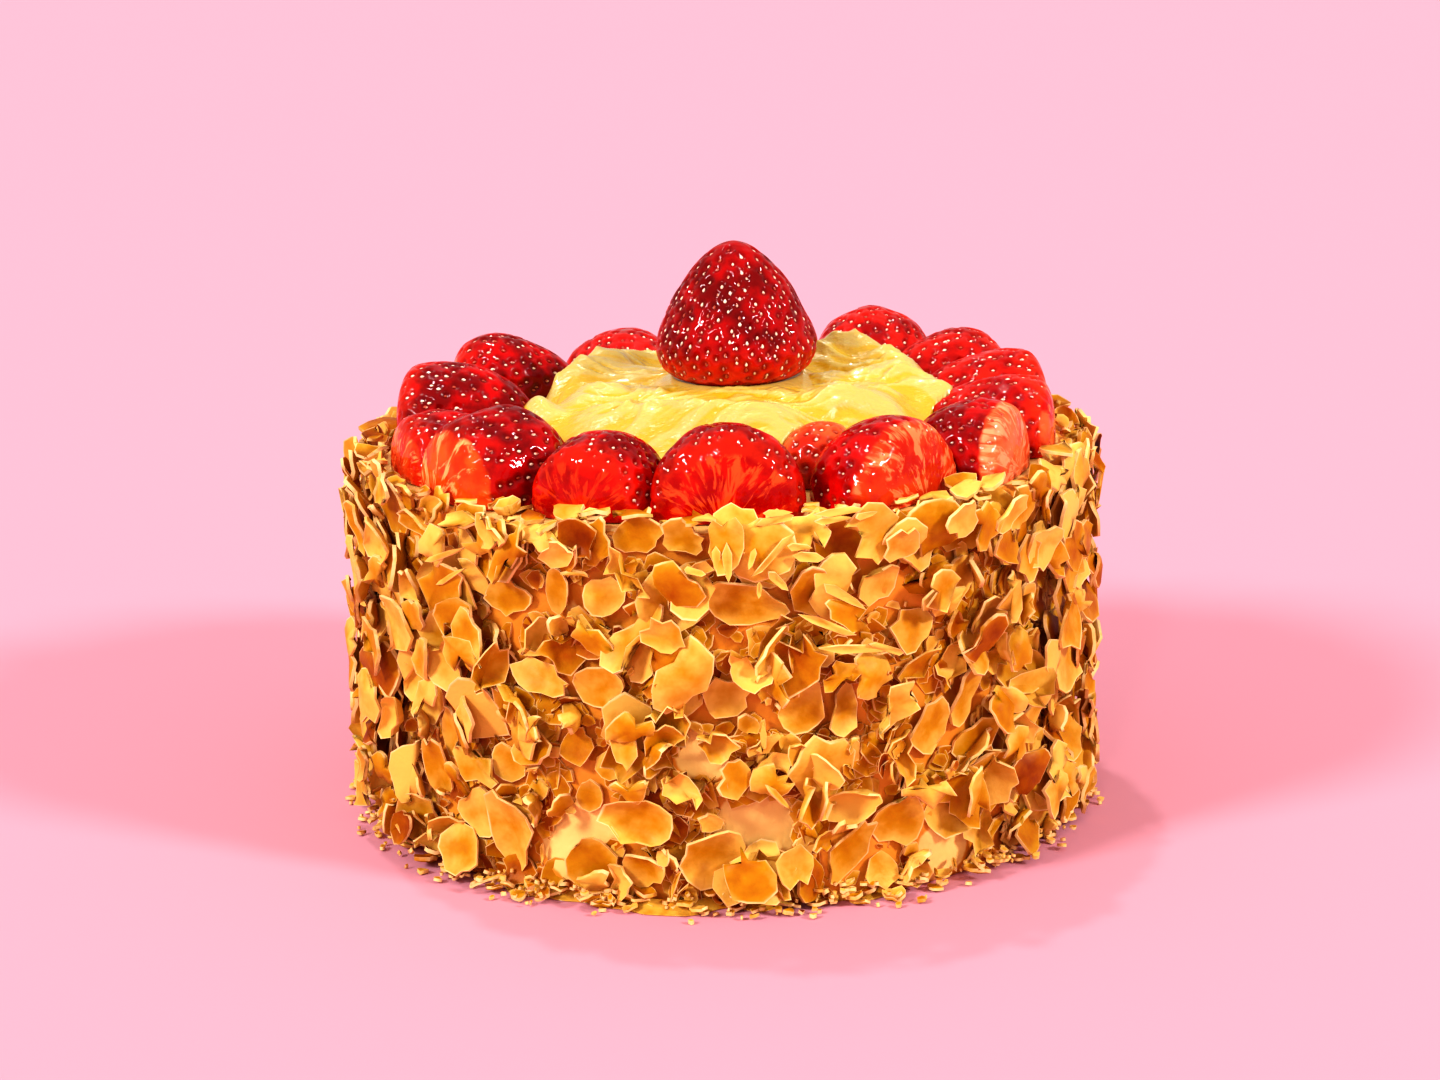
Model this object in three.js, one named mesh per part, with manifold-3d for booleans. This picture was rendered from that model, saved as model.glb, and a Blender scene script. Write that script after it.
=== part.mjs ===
// A round fruit cake. Its side is coated in cream with flaked almonds pressed in, halved strawberries lie
// round its top edge, custard fills the middle, and a whole strawberry stands in the custard.
// Millimetres, +Z up. The origin is the middle of the flat underside, and the front faces -Y.

import * as THREE from 'three';
import { mergeVertices } from 'three/addons/utils/BufferGeometryUtils.js';
import Module from 'manifold-3d';

const wasm = await Module();
wasm.setup();

// Cake
const CAKE_RADIUS = 84;
const CAKE_HEIGHT = 88;
const TOP_TILT = THREE.MathUtils.degToRad(1.0); // the top rises towards +X
const RIM_ROUND = 2.5;
const WALL_WAVE = 0.7;
const CAKE_SIDES = 36;
const GAP = 0.3; // between pieces that rest on or against one another

// Strawberries
const BERRY_SIDES = 12;
const BERRY_ROWS = 5;
const BERRY_POWER = 1.7;
const BERRY_ROOT = 0.5;
const CONE_POWER = 1.25; // a straighter flank, for the berries that taper evenly
const CONE_ROOT = 0.56;
const CENTRE_BERRY = { x: 4.6, base: 15.5, length: 34.5, width: 39.2, neck: 0.72, widest: 0.27 };

// Halved berries round the edge, anticlockwise from the one nearest +X: the bearing of the trimmed stem
// face and its distance from the middle, the berry's length, width and height, how far it is turned off
// the line to the middle, the width of the stem face, and where along the berry it is widest.
const RING_BERRIES = [
  { bearing: 9, out: 81, length: 34, width: 28, height: 19, turn: 0, neck: 0.85, widest: 0.26 },
  { bearing: 29, out: 80, length: 34, width: 29, height: 20, turn: 0, neck: 0.8, widest: 0.26 },
  { bearing: 55, out: 79, length: 34, width: 31, height: 22.5, turn: 8, neck: 0.75, widest: 0.35 },
  { bearing: 83, out: 80, length: 34, width: 33, height: 20, turn: 0, neck: 0.8, widest: 0.26 },
  { bearing: 111, out: 78, length: 34, width: 34, height: 17, turn: 0, neck: 0.8, widest: 0.26 },
  { bearing: 152, out: 77, length: 33, width: 30, height: 22.5, turn: 32, neck: 0.62, widest: 0.36, cone: true },
  { bearing: 173, out: 79, length: 34, width: 30, height: 21, turn: 0, neck: 0.85, widest: 0.3 },
  { bearing: 198, out: 80, length: 30, width: 30, height: 15, turn: 4, neck: 0.85, widest: 0.35 },
  { bearing: 219, out: 81.5, length: 33, width: 34, height: 20, turn: 0, neck: 0.74, widest: 0.55 },
  { bearing: 246, out: 79, length: 32, width: 29, height: 18, turn: 0, neck: 0.8, widest: 0.42 },
  { bearing: 271, out: 79, length: 36, width: 35, height: 20.5, turn: 0, neck: 0.8, widest: 0.26 },
  { bearing: 304.5, out: 79, length: 28, width: 36, height: 18.5, turn: 13, neck: 0.85, widest: 0.35 },
  { bearing: 328.5, out: 81, length: 27, width: 30, height: 17.5, turn: 8, neck: 0.85, widest: 0.4 },
  { bearing: 350, out: 81.5, length: 34, width: 28, height: 17.5, turn: 3, neck: 0.85, widest: 0.3 },
];
// The small piece that is tucked in behind two of them
const INNER_BERRY = { bearing: 308, out: 49, length: 18, width: 20, height: 14, turn: 70, neck: 0.8, widest: 0.4 };

// Custard
const CUSTARD_HEIGHT = 16;
const CUSTARD_EDGE_HEIGHT = 5;
const CUSTARD_SHOULDER = 17; // how far in from its edge the custard reaches its full height
const CUSTARD_SIDES = 36;
const CUSTARD_ROWS = 8;
const CUSTARD_OUTLINE = { mean: 54, towardRight: 5, towardBack: 5, lobes: 5, lobeDepth: 1.8 };
const CUSTARD_FOLD = { height: 1.3, spacing: 19, sway: 2.4 };
// Peaks and rolls that the knife pulled up: place, height, half length and half width, and how far the length
// is turned from +X
const CUSTARD_PEAKS = [
  { x: -44, y: -11, height: 9, long: 9, wide: 5, turn: -62 },
  { x: -37, y: 12, height: 4, long: 8, wide: 5, turn: 20 },
  { x: -25, y: 21, height: 5, long: 8, wide: 5, turn: 35 },
  { x: 30, y: 18, height: 5.5, long: 8, wide: 5, turn: 10 },
  { x: 44, y: 10, height: 5, long: 10, wide: 7, turn: 0 },
  { x: 55, y: -10, height: 9, long: 9, wide: 6, turn: -48 },
  { x: 45, y: -28, height: 5, long: 8, wide: 5.5, turn: -35 },
];

// Flaked almonds: an uneven oval slice, a little cupped
const FLAKE_THICKNESS = 0.9;
const FLAKE_CORNERS = 6;
const FLAKE_CUP = [-0.05, 0.11]; // depth of the cup as a share of the length, edges outwards where positive
const FLAKE_GRIP = 1.6; // how deep a flake's innermost point sits in the cream
const FLAKE_SEED = 4021;
// Each kind's flakes lean outwards within reach, by share: up for the top edge, side for the ends
const COAT = { rows: 9, perRow: 17, length: [14, 21], slim: [0.6, 0.82], reach: 7.5, up: [-1, 1], side: [-1, 1] };
const RIM = { count: 30, length: [14, 20], slim: [0.6, 0.85], reach: 7, up: [0.1, 0.9], side: [-0.3, 0.3] };
const FOOT = { count: 24, length: [11, 17], slim: [0.5, 0.8], reach: 9.5, up: [-0.9, 0], side: [-0.6, 0.6] };
const RIM_PROUD = [1.5, 7]; // how far the rim's flakes stand over the top
const FOOT_LIFT = [3, 7];
const RIM_CLEAR_RADIUS = 82.3; // above the top edge, no almond comes further in than this
const GROUND_CLEARANCE = 0.05;
// Flakes that stand out on the front. Bearing and height of the middle, length and width, then in degrees
// how far the length is turned from level, how far the top edge leans out and the left end leans out, then
// the share left of the blunt end and the depth of the cup as a share of the length.
const NOTED_FLAKES = [
  [201.6, 88, 14.6, 8, 85, 15, 0, 0.9, 0.05],
  [217, 81.5, 22, 8, -22, 28, 0, 0.9, 0.09],
  [235.2, 69.8, 14, 10.5, 8, 8, 4, 1, 0.05],
  [244.4, 74.3, 15.4, 6.6, 88, 12, 0, 0.75, 0.03],
  [252.2, 73.1, 11.2, 10.4, 30, -6, 12, 1, 0.08],
  [257.6, 87.4, 13.4, 10.2, 5, 8, 0, 0.95, 0.04],
  [264.3, 86.6, 12.3, 10.2, -10, 10, -6, 0.95, 0.04],
  [273.1, 71.9, 25, 11, -14, 14, 5, 0.9, 0.05],
  [293.7, 74.4, 13.5, 11.5, 20, 20, 10, 1, 0.11],
  [299.4, 62.3, 14.1, 11.6, 15, -14, 6, 0.95, 0.04],
  [324.2, 60.8, 14, 8, -78, 16, 0, 1, 0.04],
  [241.5, 52.2, 19, 9, -14, -22, 0, 1, 0.05],
  [251.3, 52.4, 16.4, 11.5, 24, 12, -10, 0.9, 0.04],
  [270.2, 50.4, 13.3, 11.4, 12, 8, 8, 1, 0.06],
  [281.8, 47.9, 16.1, 12.5, 76, 10, -12, 0.95, 0.05],
  [288.1, 45.5, 13.8, 8.2, 84, -8, 14, 1, 0.08],
  [302.9, 38.5, 16.4, 14.6, 66, 8, 12, 1, 0.05],
  [309.6, 43.9, 17.7, 9.5, 80, 14, 10, 0.95, 0.05],
  [327.1, 34.1, 16.5, 12.2, 24, 20, 0, 0.9, 0.05],
  [353.1, 28.8, 15, 9, 80, 38, 0, 1, 0.05],
  [222.4, 34.9, 18, 7.5, 84, 10, -10, 0.9, 0.04],
  [234.9, 30.7, 12.5, 10.6, 10, 6, 8, 0.9, 0.03],
  [247.1, 37.2, 10.5, 8.5, 76, -12, 8, 1, 0.06],
  [219.1, 25.2, 19.4, 9, 92, 16, 12, 1, 0.04],
  [228, 17.2, 14.4, 14, 60, 4, 10, 0.95, 0.04],
  [235.2, 14.8, 25, 16.2, -97, 13, -6, 1, 0.07],
  [225.7, 7.4, 18, 13.3, -35, -34, 0, 0.95, 0.06],
  [202.2, 9.6, 15, 8, 58, -30, 0, 0.95, 0.05],
  [248.8, 26, 9.3, 7.3, 84, 10, 0, 1, 0.06],
  [257.6, 10, 11.7, 11.6, 20, 24, -14, 1, 0.11],
  [268, 13.8, 18.6, 16.5, 40, 16, 12, 0.9, 0.11],
  [288.7, 12.2, 21.1, 9.6, 52, 12, 10, 1, 0.07],
  [297.1, 18.2, 15.3, 14.1, 80, 12, -14, 1, 0.06],
  [294.4, 6.4, 10.6, 10, 10, -20, 0, 0.95, 0.05],
  [315.4, 6.4, 20, 4.4, 26, 8, 10, 1, 0.03],
];
const NOTED_CLEARANCE = 9.5; // no other flake's middle comes nearer than this
// Bearing, height and radius of places where the cream shows, with no flake's middle in them
const BARE_CREAM = [
  [246.6, 14.1, 8.5],
  [274.9, 19.5, 8],
  [266.2, 36.2, 5],
  [306.2, 7.9, 6],
];

const CREAM_AND_ALMOND = { color: 0xdc8a2c, roughness: 0.6 };
const STRAWBERRY_RED = { color: 0xb0121a, roughness: 0.15 };
const CUSTARD_YELLOW = { color: 0xf9d850, roughness: 0.3 };

const degrees = THREE.MathUtils.degToRad;

// The same stream of numbers from 0 to 1 for a seed, in any language
function randomStream(seed) {
  const multiplier = 16807;
  const modulus = 2147483647;
  let state = seed;
  return () => {
    state = (state * multiplier) % modulus;
    return state / modulus;
  };
}

const between = (range, share) => range[0] + (range[1] - range[0]) * share;

// Solids and meshes

function trianglesOf(geometry) {
  const bare = geometry.clone();
  bare.deleteAttribute('normal');
  bare.deleteAttribute('uv');
  const merged = mergeVertices(bare, 1e-4);
  const corners = [];
  for (let i = 0; i < merged.index.count; i += 3) {
    const [a, b, c] = [0, 1, 2].map((k) => merged.index.getX(i + k));
    if (a !== b && b !== c && c !== a) corners.push(a, b, c);
  }
  return { points: merged.attributes.position.array, corners };
}

function solidOf(geometry) {
  const { points, corners } = trianglesOf(geometry);
  const mesh = new wasm.Mesh({
    numProp: 3,
    vertProperties: Float32Array.from(points),
    triVerts: Uint32Array.from(corners),
  });
  return new wasm.Manifold(mesh);
}

function geometryOf(solid) {
  const mesh = solid.getMesh();
  const geometry = new THREE.BufferGeometry();
  geometry.setAttribute('position', new THREE.BufferAttribute(Float32Array.from(mesh.vertProperties), 3));
  geometry.setIndex(Array.from(mesh.triVerts));
  geometry.computeVertexNormals();
  return geometry;
}

// The largest piece of a solid, without loose scraps and with sealed hollows filled
function mainBody(solid) {
  const pieces = solid.decompose();
  return pieces.reduce((largest, piece) => (piece.volume() > largest.volume() ? piece : largest));
}

function named(name, geometry, finish) {
  const mesh = new THREE.Mesh(geometry, new THREE.MeshStandardMaterial(finish));
  mesh.name = name;
  return mesh;
}

// Moves each point of a geometry to where the rule puts it
function reshape(geometry, rule) {
  const position = geometry.attributes.position;
  const point = new THREE.Vector3();
  for (let i = 0; i < position.count; i += 1) {
    point.fromBufferAttribute(position, i);
    rule(point);
    position.setXYZ(i, point.x, point.y, point.z);
  }
  return geometry;
}

// Cake drum: a lathed drum with a rounded rim, a slightly wavy wall and a tilted top

function cakeDrum() {
  const profile = [
    [0, 0],
    [CAKE_RADIUS, 0],
    [CAKE_RADIUS, CAKE_HEIGHT - RIM_ROUND],
    [CAKE_RADIUS - RIM_ROUND, CAKE_HEIGHT],
    [0, CAKE_HEIGHT],
  ].map(([out, up]) => new THREE.Vector2(out, up));
  const drum = new THREE.LatheGeometry(profile, CAKE_SIDES).rotateX(Math.PI / 2);
  return reshape(drum, (point) => {
    const bearing = Math.atan2(point.y, point.x);
    const wave = WALL_WAVE * Math.sin(3 * bearing + 0.8) * Math.cos(2 * bearing);
    const grown = 1 + wave / CAKE_RADIUS;
    point.x *= grown;
    point.y *= grown;
    point.z += (point.z / CAKE_HEIGHT) * point.x * Math.tan(TOP_TILT);
  });
}

// One flaked almond, flat in X and Y with its length along X

function almondFlake({ length, width, blunt, cup }) {
  const points = [];
  const corners = [];
  const half = FLAKE_THICKNESS / 2;
  const rise = (length * cup) / 2;
  points.push([0, 0, half - rise], [0, 0, -half - rise]);
  for (let i = 0; i < FLAKE_CORNERS; i += 1) {
    const turn = (2 * Math.PI * i) / FLAKE_CORNERS;
    const x = (length / 2) * Math.cos(turn) * (Math.cos(turn) > 0 ? blunt : 1);
    const y = (width / 2) * Math.sin(turn) * (1 - 0.22 * Math.cos(turn));
    points.push([x, y, half + rise], [x, y, -half + rise]);
  }
  for (let i = 0; i < FLAKE_CORNERS; i += 1) {
    const top = 2 + 2 * i;
    const nextTop = 2 + 2 * ((i + 1) % FLAKE_CORNERS);
    corners.push([0, top, nextTop], [1, nextTop + 1, top + 1]);
    corners.push([top, top + 1, nextTop + 1], [top, nextTop + 1, nextTop]);
  }
  const geometry = new THREE.BufferGeometry();
  geometry.setAttribute('position', new THREE.Float32BufferAttribute(points.flat(), 3));
  geometry.setIndex(corners.flat());
  return geometry;
}

// Where one flake goes before it is pressed in: spun in its own plane, leaned, and set on the wall
function flakePlace(flake) {
  const own = new THREE.Matrix4().makeRotationZ(flake.spin);
  const lean = new THREE.Matrix4().makeRotationFromEuler(new THREE.Euler(flake.pitch, flake.yaw, 0, 'XYZ'));
  const bearing = flake.bearing;
  const along = new THREE.Vector3(-Math.sin(bearing), Math.cos(bearing), 0);
  const up = new THREE.Vector3(0, 0, 1);
  const outward = new THREE.Vector3(Math.cos(bearing), Math.sin(bearing), 0);
  const wall = new THREE.Matrix4().makeBasis(along, up, outward);
  const place = wall.multiply(lean).multiply(own);
  place.setPosition(outward.clone().multiplyScalar(CAKE_RADIUS).setZ(flake.z));
  return place;
}

// One flake of a kind, drawn at random. It leans by angles that keep its outer edge within reach.
function makeFlake(draw, kind, bearing, z) {
  const length = between(kind.length, draw());
  const width = length * between(kind.slim, draw());
  const spin = (draw() - 0.5) * Math.PI;
  const steepest = Math.asin(Math.min(0.9, (kind.reach + FLAKE_GRIP) / length));
  const pitch = steepest * between(kind.up, draw());
  const yaw = steepest * between(kind.side, draw()) * Math.sqrt(1 - (pitch / steepest) ** 2);
  const blunt = 1 - 0.35 * draw();
  const cup = between(FLAKE_CUP, draw());
  const high = (length / 2) * Math.abs(Math.sin(spin)) + (width / 2) * Math.abs(Math.cos(spin));
  return { length, width, spin, pitch, yaw, blunt, cup, bearing, z, high };
}

function notedFlakes() {
  return NOTED_FLAKES.map(([bearing, z, length, width, spin, pitch, yaw, blunt, cup]) => {
    const turns = { bearing: degrees(bearing), spin: degrees(spin), pitch: degrees(pitch), yaw: degrees(yaw) };
    return { z, length, width, blunt, cup, ...turns };
  });
}

// True for a flake that would crowd a noted one or cover bare cream
function isInTheWay(flake) {
  const near = (bearing, z, distance) => {
    const across = 2 * CAKE_RADIUS * Math.sin((flake.bearing - degrees(bearing)) / 2);
    return Math.hypot(across, flake.z - z) < distance;
  };
  return NOTED_FLAKES.some(([bearing, z]) => near(bearing, z, NOTED_CLEARANCE))
    || BARE_CREAM.some(([bearing, z, radius]) => near(bearing, z, radius));
}

function almondFlakes() {
  const draw = randomStream(FLAKE_SEED);
  const flakes = [];
  for (let row = 0; row < COAT.rows; row += 1) {
    for (let i = 0; i < COAT.perRow; i += 1) {
      const stagger = (row % 2) / 2;
      const bearing = (2 * Math.PI * (i + stagger + 0.5 * (draw() - 0.5))) / COAT.perRow;
      const z = (CAKE_HEIGHT * (row + 0.5 + 0.5 * (draw() - 0.5))) / COAT.rows;
      flakes.push(makeFlake(draw, COAT, bearing, z));
    }
  }
  for (let i = 0; i < RIM.count; i += 1) {
    const bearing = (2 * Math.PI * (i + 0.6 * (draw() - 0.5))) / RIM.count;
    const flake = makeFlake(draw, RIM, bearing, 0);
    flake.z = CAKE_HEIGHT + between(RIM_PROUD, draw()) - flake.high * Math.cos(flake.pitch);
    flakes.push(flake);
  }
  for (let i = 0; i < FOOT.count; i += 1) {
    const bearing = (2 * Math.PI * (i + 0.6 * (draw() - 0.5))) / FOOT.count;
    flakes.push(makeFlake(draw, FOOT, bearing, between(FOOT_LIFT, draw())));
  }
  return [...notedFlakes(), ...flakes.filter((flake) => !isInTheWay(flake))];
}

// How far in the points of a flake reach, under the rim and over it
function reachIn(geometry) {
  const position = geometry.attributes.position;
  const reach = { under: Infinity, over: Infinity };
  for (let i = 0; i < position.count; i += 1) {
    const [x, y, z] = [position.getX(i), position.getY(i), position.getZ(i)];
    const side = z > CAKE_HEIGHT + x * Math.tan(TOP_TILT) - RIM_ROUND ? 'over' : 'under';
    reach[side] = Math.min(reach[side], Math.hypot(x, y));
  }
  return reach;
}

// A flake is lifted clear of the ground and pressed into the wall by its grip. One that would then reach
// in over the top is left out.
function placedFlake(flake) {
  const geometry = almondFlake(flake).applyMatrix4(flakePlace(flake));
  geometry.computeBoundingBox();
  geometry.translate(0, 0, Math.max(0, GROUND_CLEARANCE - geometry.boundingBox.min.z));
  const reach = reachIn(geometry);
  const outward = CAKE_RADIUS - FLAKE_GRIP - reach.under;
  if (reach.over + outward < RIM_CLEAR_RADIUS) return null;
  return geometry.translate(outward * Math.cos(flake.bearing), outward * Math.sin(flake.bearing), 0);
}

function coatedCake() {
  let cake = solidOf(cakeDrum());
  for (const flake of almondFlakes()) {
    const geometry = placedFlake(flake);
    if (geometry) cake = cake.add(solidOf(geometry));
  }
  return geometryOf(mainBody(cake));
}

// Strawberries. Each is turned on its own axis, from the trimmed stem face at 0 to the tip at 1.

function berryGirth(t, berry) {
  if (t < berry.widest) {
    return 1 - (1 - berry.neck) * ((berry.widest - t) / berry.widest) ** 2;
  }
  const power = berry.cone ? CONE_POWER : BERRY_POWER;
  const root = berry.cone ? CONE_ROOT : BERRY_ROOT;
  return Math.max(0, 1 - ((t - berry.widest) / (1 - berry.widest)) ** power) ** root;
}

function wholeBerry(berry, halfWidth, halfDepth, length) {
  const profile = [new THREE.Vector2(0, 0)];
  for (let row = 0; row < BERRY_ROWS; row += 1) {
    const t = Math.sin((Math.PI / 2) * (row / BERRY_ROWS));
    profile.push(new THREE.Vector2(berryGirth(t, berry), t));
  }
  profile.push(new THREE.Vector2(0, 1));
  return new THREE.LatheGeometry(profile, BERRY_SIDES).scale(halfWidth, length, halfDepth);
}

// A halved berry lies on its cut side, its tip towards the middle. Grown makes it larger all round, for
// cutting its seat out of a neighbour.
function halvedBerry(berry, grown = 0) {
  const axisHeight = Math.max(1.5, berry.height - berry.width / 2);
  const halfDepth = berry.height - axisHeight + grown;
  const body = wholeBerry(berry, berry.width / 2 + grown, halfDepth, berry.length + 2 * grown);
  body.translate(0, -grown, 0);
  const lying = solidOf(body.rotateZ(Math.PI / 2).rotateX(-Math.PI / 2).translate(0, 0, axisHeight));
  const size = 4 * berry.length;
  const above = new THREE.BoxGeometry(size, size, size).translate(0, 0, size / 2 + GAP - grown);
  const half = lying.intersect(solidOf(above));
  const bearing = degrees(berry.bearing);
  const placed = geometryOf(half).rotateZ(bearing + degrees(berry.turn));
  return solidOf(placed.translate(berry.out * Math.cos(bearing), berry.out * Math.sin(bearing), 0));
}

// Each berry gives way to the ones placed before it, as soft fruit pressed together does
function ringOfBerries() {
  const solids = [];
  const seats = [];
  for (const berry of [...RING_BERRIES, INNER_BERRY]) {
    let solid = halvedBerry(berry);
    for (const seat of seats) solid = solid.subtract(seat);
    solids.push(mainBody(solid));
    seats.push(halvedBerry(berry, GAP));
  }
  return { solids, seats };
}

function centreBerry(grown = 0) {
  const half = CENTRE_BERRY.width / 2 + grown;
  const body = wholeBerry({ ...CENTRE_BERRY, cone: true }, half, half, CENTRE_BERRY.length + 2 * grown);
  return body.rotateX(Math.PI / 2).translate(CENTRE_BERRY.x, 0, CENTRE_BERRY.base - grown);
}

// Custard: a flat mound with folds from the knife and a few pulled peaks

function custardOutline(bearing) {
  const o = CUSTARD_OUTLINE;
  return o.mean + o.towardRight * Math.cos(bearing) + o.towardBack * Math.sin(bearing)
    + o.lobeDepth * Math.cos(o.lobes * bearing + 0.6);
}

function custardTop(x, y) {
  const edge = custardOutline(Math.atan2(y, x));
  const inward = THREE.MathUtils.smoothstep(edge - Math.hypot(x, y), 0, CUSTARD_SHOULDER);
  const fold = CUSTARD_FOLD.height
    * Math.sin((2 * Math.PI * y) / CUSTARD_FOLD.spacing + CUSTARD_FOLD.sway * Math.sin(x / CUSTARD_FOLD.spacing));
  let z = CUSTARD_EDGE_HEIGHT + (CUSTARD_HEIGHT - CUSTARD_EDGE_HEIGHT + fold) * inward;
  for (const peak of CUSTARD_PEAKS) {
    const turn = degrees(peak.turn);
    const along = (x - peak.x) * Math.cos(turn) + (y - peak.y) * Math.sin(turn);
    const across = (y - peak.y) * Math.cos(turn) - (x - peak.x) * Math.sin(turn);
    z += peak.height * Math.exp(-((along / peak.long) ** 2) - (across / peak.wide) ** 2);
  }
  return z;
}

// A unit disc with a rim wall, reshaped: its rows run out to the custard's outline
function custardMound() {
  const profile = [new THREE.Vector2(0, 0), new THREE.Vector2(1, 0)];
  for (let row = 0; row <= CUSTARD_ROWS; row += 1) {
    profile.push(new THREE.Vector2(1 - row / CUSTARD_ROWS, 1));
  }
  const disc = new THREE.LatheGeometry(profile, CUSTARD_SIDES).rotateX(Math.PI / 2);
  return reshape(disc, (point) => {
    const edge = custardOutline(Math.atan2(point.y, point.x));
    point.x *= edge;
    point.y *= edge;
    point.z = point.z > 0.5 ? custardTop(point.x, point.y) : GAP;
  });
}

function custard(seats) {
  let solid = solidOf(custardMound());
  for (const seat of seats) solid = solid.subtract(seat);
  return geometryOf(mainBody(solid.subtract(solidOf(centreBerry(GAP)))));
}

// The whole cake

const group = new THREE.Group();
group.add(named('cake', coatedCake(), CREAM_AND_ALMOND));

const top = new THREE.Group();
top.position.z = CAKE_HEIGHT;
top.rotation.y = -TOP_TILT;
group.add(top);

const ring = ringOfBerries();
ring.solids.forEach((solid, index) => {
  const inner = index === RING_BERRIES.length;
  const name = inner ? 'strawberry_inner' : `strawberry_${String(index + 1).padStart(2, '0')}`;
  top.add(named(name, geometryOf(solid), STRAWBERRY_RED));
});
top.add(named('strawberry_centre', centreBerry(), STRAWBERRY_RED));
top.add(named('custard', custard(ring.seats), CUSTARD_YELLOW));

export default group;
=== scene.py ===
"""The finished look of a round fruit cake: cream coated in flaked almonds, glazed halved strawberries round
the top edge, custard in the middle and a whole strawberry standing in it.

Metres, +Z up, the front faces -Y. The sizes here are the ones that the cake's solids are made from."""

import math

import bpy
import numpy as np
from bpy.props import FloatProperty, FloatVectorProperty, IntProperty, PointerProperty
from mathutils import Euler, Matrix, Vector
from mathutils.kdtree import KDTree


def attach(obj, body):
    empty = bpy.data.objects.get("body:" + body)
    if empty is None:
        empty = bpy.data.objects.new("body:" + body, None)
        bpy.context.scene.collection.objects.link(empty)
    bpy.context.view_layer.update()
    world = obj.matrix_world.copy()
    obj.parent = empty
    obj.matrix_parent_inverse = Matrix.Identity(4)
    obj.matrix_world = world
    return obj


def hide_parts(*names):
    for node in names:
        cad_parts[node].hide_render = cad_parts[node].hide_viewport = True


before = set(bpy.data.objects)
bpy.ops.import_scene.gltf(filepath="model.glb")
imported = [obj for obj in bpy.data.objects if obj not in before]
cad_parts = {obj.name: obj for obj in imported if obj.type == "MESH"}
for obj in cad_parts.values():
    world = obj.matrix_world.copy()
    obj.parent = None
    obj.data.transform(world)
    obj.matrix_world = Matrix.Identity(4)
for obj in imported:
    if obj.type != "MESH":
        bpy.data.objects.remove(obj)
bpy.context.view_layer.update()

bl_info = {
    "name": "Fruit cake",
    "version": (1, 0, 0),
    "blender": (4, 5, 0),
    "location": "3D View > Sidebar > Fruit cake",
    "description": "Dresses a fruit cake's solids with cream, flaked almonds, strawberries and custard",
    "category": "Add Mesh",
}

MM = 0.001

# Cake
CAKE_RADIUS = 84 * MM
CAKE_HEIGHT = 88 * MM
TOP_TILT = math.radians(1.0)
RIM_ROUND = 2.5 * MM
WALL_WAVE = 0.7 * MM
GAP = 0.3 * MM

# Strawberries, in millimetres, degrees and shares of the length and width. The stem face takes up FACE_DEPTH
# of the length, and the powers and roots say how round the stem face and the tip are.
FACE_DEPTH = 0.15
FACE_POWER = 2.8
BERRY_POWER = 1.7
BERRY_ROOT = 0.5
CONE_POWER = 1.25
CONE_ROOT = 0.56
CENTRE_BERRY = dict(x=4.6, base=15.5, length=34.5, width=39.2, neck=0.72, widest=0.27, cone=True)
# Bearing of the trimmed stem face, its distance out, length, width, height, turn, width of the stem face,
# where it is widest, and whether it is a cone
BERRY_KEYS = ("bearing", "out", "length", "width", "height", "turn", "neck", "widest", "cone")
RING_BERRIES = [dict(zip(BERRY_KEYS, row)) for row in (
    (9, 81, 34, 28, 19, 0, 0.85, 0.26),
    (29, 80, 34, 29, 20, 0, 0.8, 0.26),
    (55, 79, 34, 31, 22.5, 8, 0.75, 0.35),
    (83, 80, 34, 33, 20, 0, 0.8, 0.26),
    (111, 78, 34, 34, 17, 0, 0.8, 0.26),
    (152, 77, 33, 30, 22.5, 32, 0.62, 0.36, True),
    (173, 79, 34, 30, 21, 0, 0.85, 0.3),
    (198, 80, 30, 30, 15, 4, 0.85, 0.35),
    (219, 81.5, 33, 34, 20, 0, 0.74, 0.55),
    (246, 79, 32, 29, 18, 0, 0.8, 0.42),
    (271, 79, 36, 35, 20.5, 0, 0.8, 0.26),
    (304.5, 79, 28, 36, 18.5, 13, 0.85, 0.35),
    (328.5, 81, 27, 30, 17.5, 8, 0.85, 0.4),
    (350, 81.5, 34, 28, 17.5, 3, 0.85, 0.3),
)]
INNER_BERRY = dict(zip(BERRY_KEYS, (308, 49, 18, 20, 14, 70, 0.8, 0.4)))
# Seeds of a whole and a halved berry of the usual length, how lumpy each is, and the seed of the draws
USUAL_LENGTH = 34
SEED_COUNTS = (400, 230)
LUMPINESS = (0.012, 0.018)
SEEDS_DRAW = 77

# Custard, in millimetres
CUSTARD_HEIGHT = 16
CUSTARD_EDGE_HEIGHT = 5
CUSTARD_SHOULDER = 17
CUSTARD_OUTLINE = {"mean": 54, "right": 5, "back": 5, "lobes": 5, "lobe_depth": 1.8}
CUSTARD_FOLD = {"height": 1.3, "spacing": 19, "sway": 2.4}
# Peaks and rolls that the knife pulled up: place, height, half length, half width, turn in degrees
CUSTARD_PEAKS = [
    (-44, -11, 9, 9, 5, -62),
    (-37, 12, 4, 8, 5, 20),
    (-25, 21, 5, 8, 5, 35),
    (30, 18, 5.5, 8, 5, 10),
    (44, 10, 5, 10, 7, 0),
    (55, -10, 9, 9, 6, -48),
    (45, -28, 5, 8, 5.5, -35),
]
COLLAR_HEIGHT = 2.6
# Small tips that it pulled up: place, height and width
CUSTARD_TIPS = [
    (-48, -14, 4.5, 2.6),
    (-43, -4, 3.0, 2.0),
    (-40, 10, 3.6, 2.0),
    (-30, 20, 3.2, 2.2),
    (24, 19, 2.4, 2.0),
    (34, 17, 3.2, 2.0),
    (54, 9, 2.6, 2.2),
    (60, -20, 2.2, 2.4),
]
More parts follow.
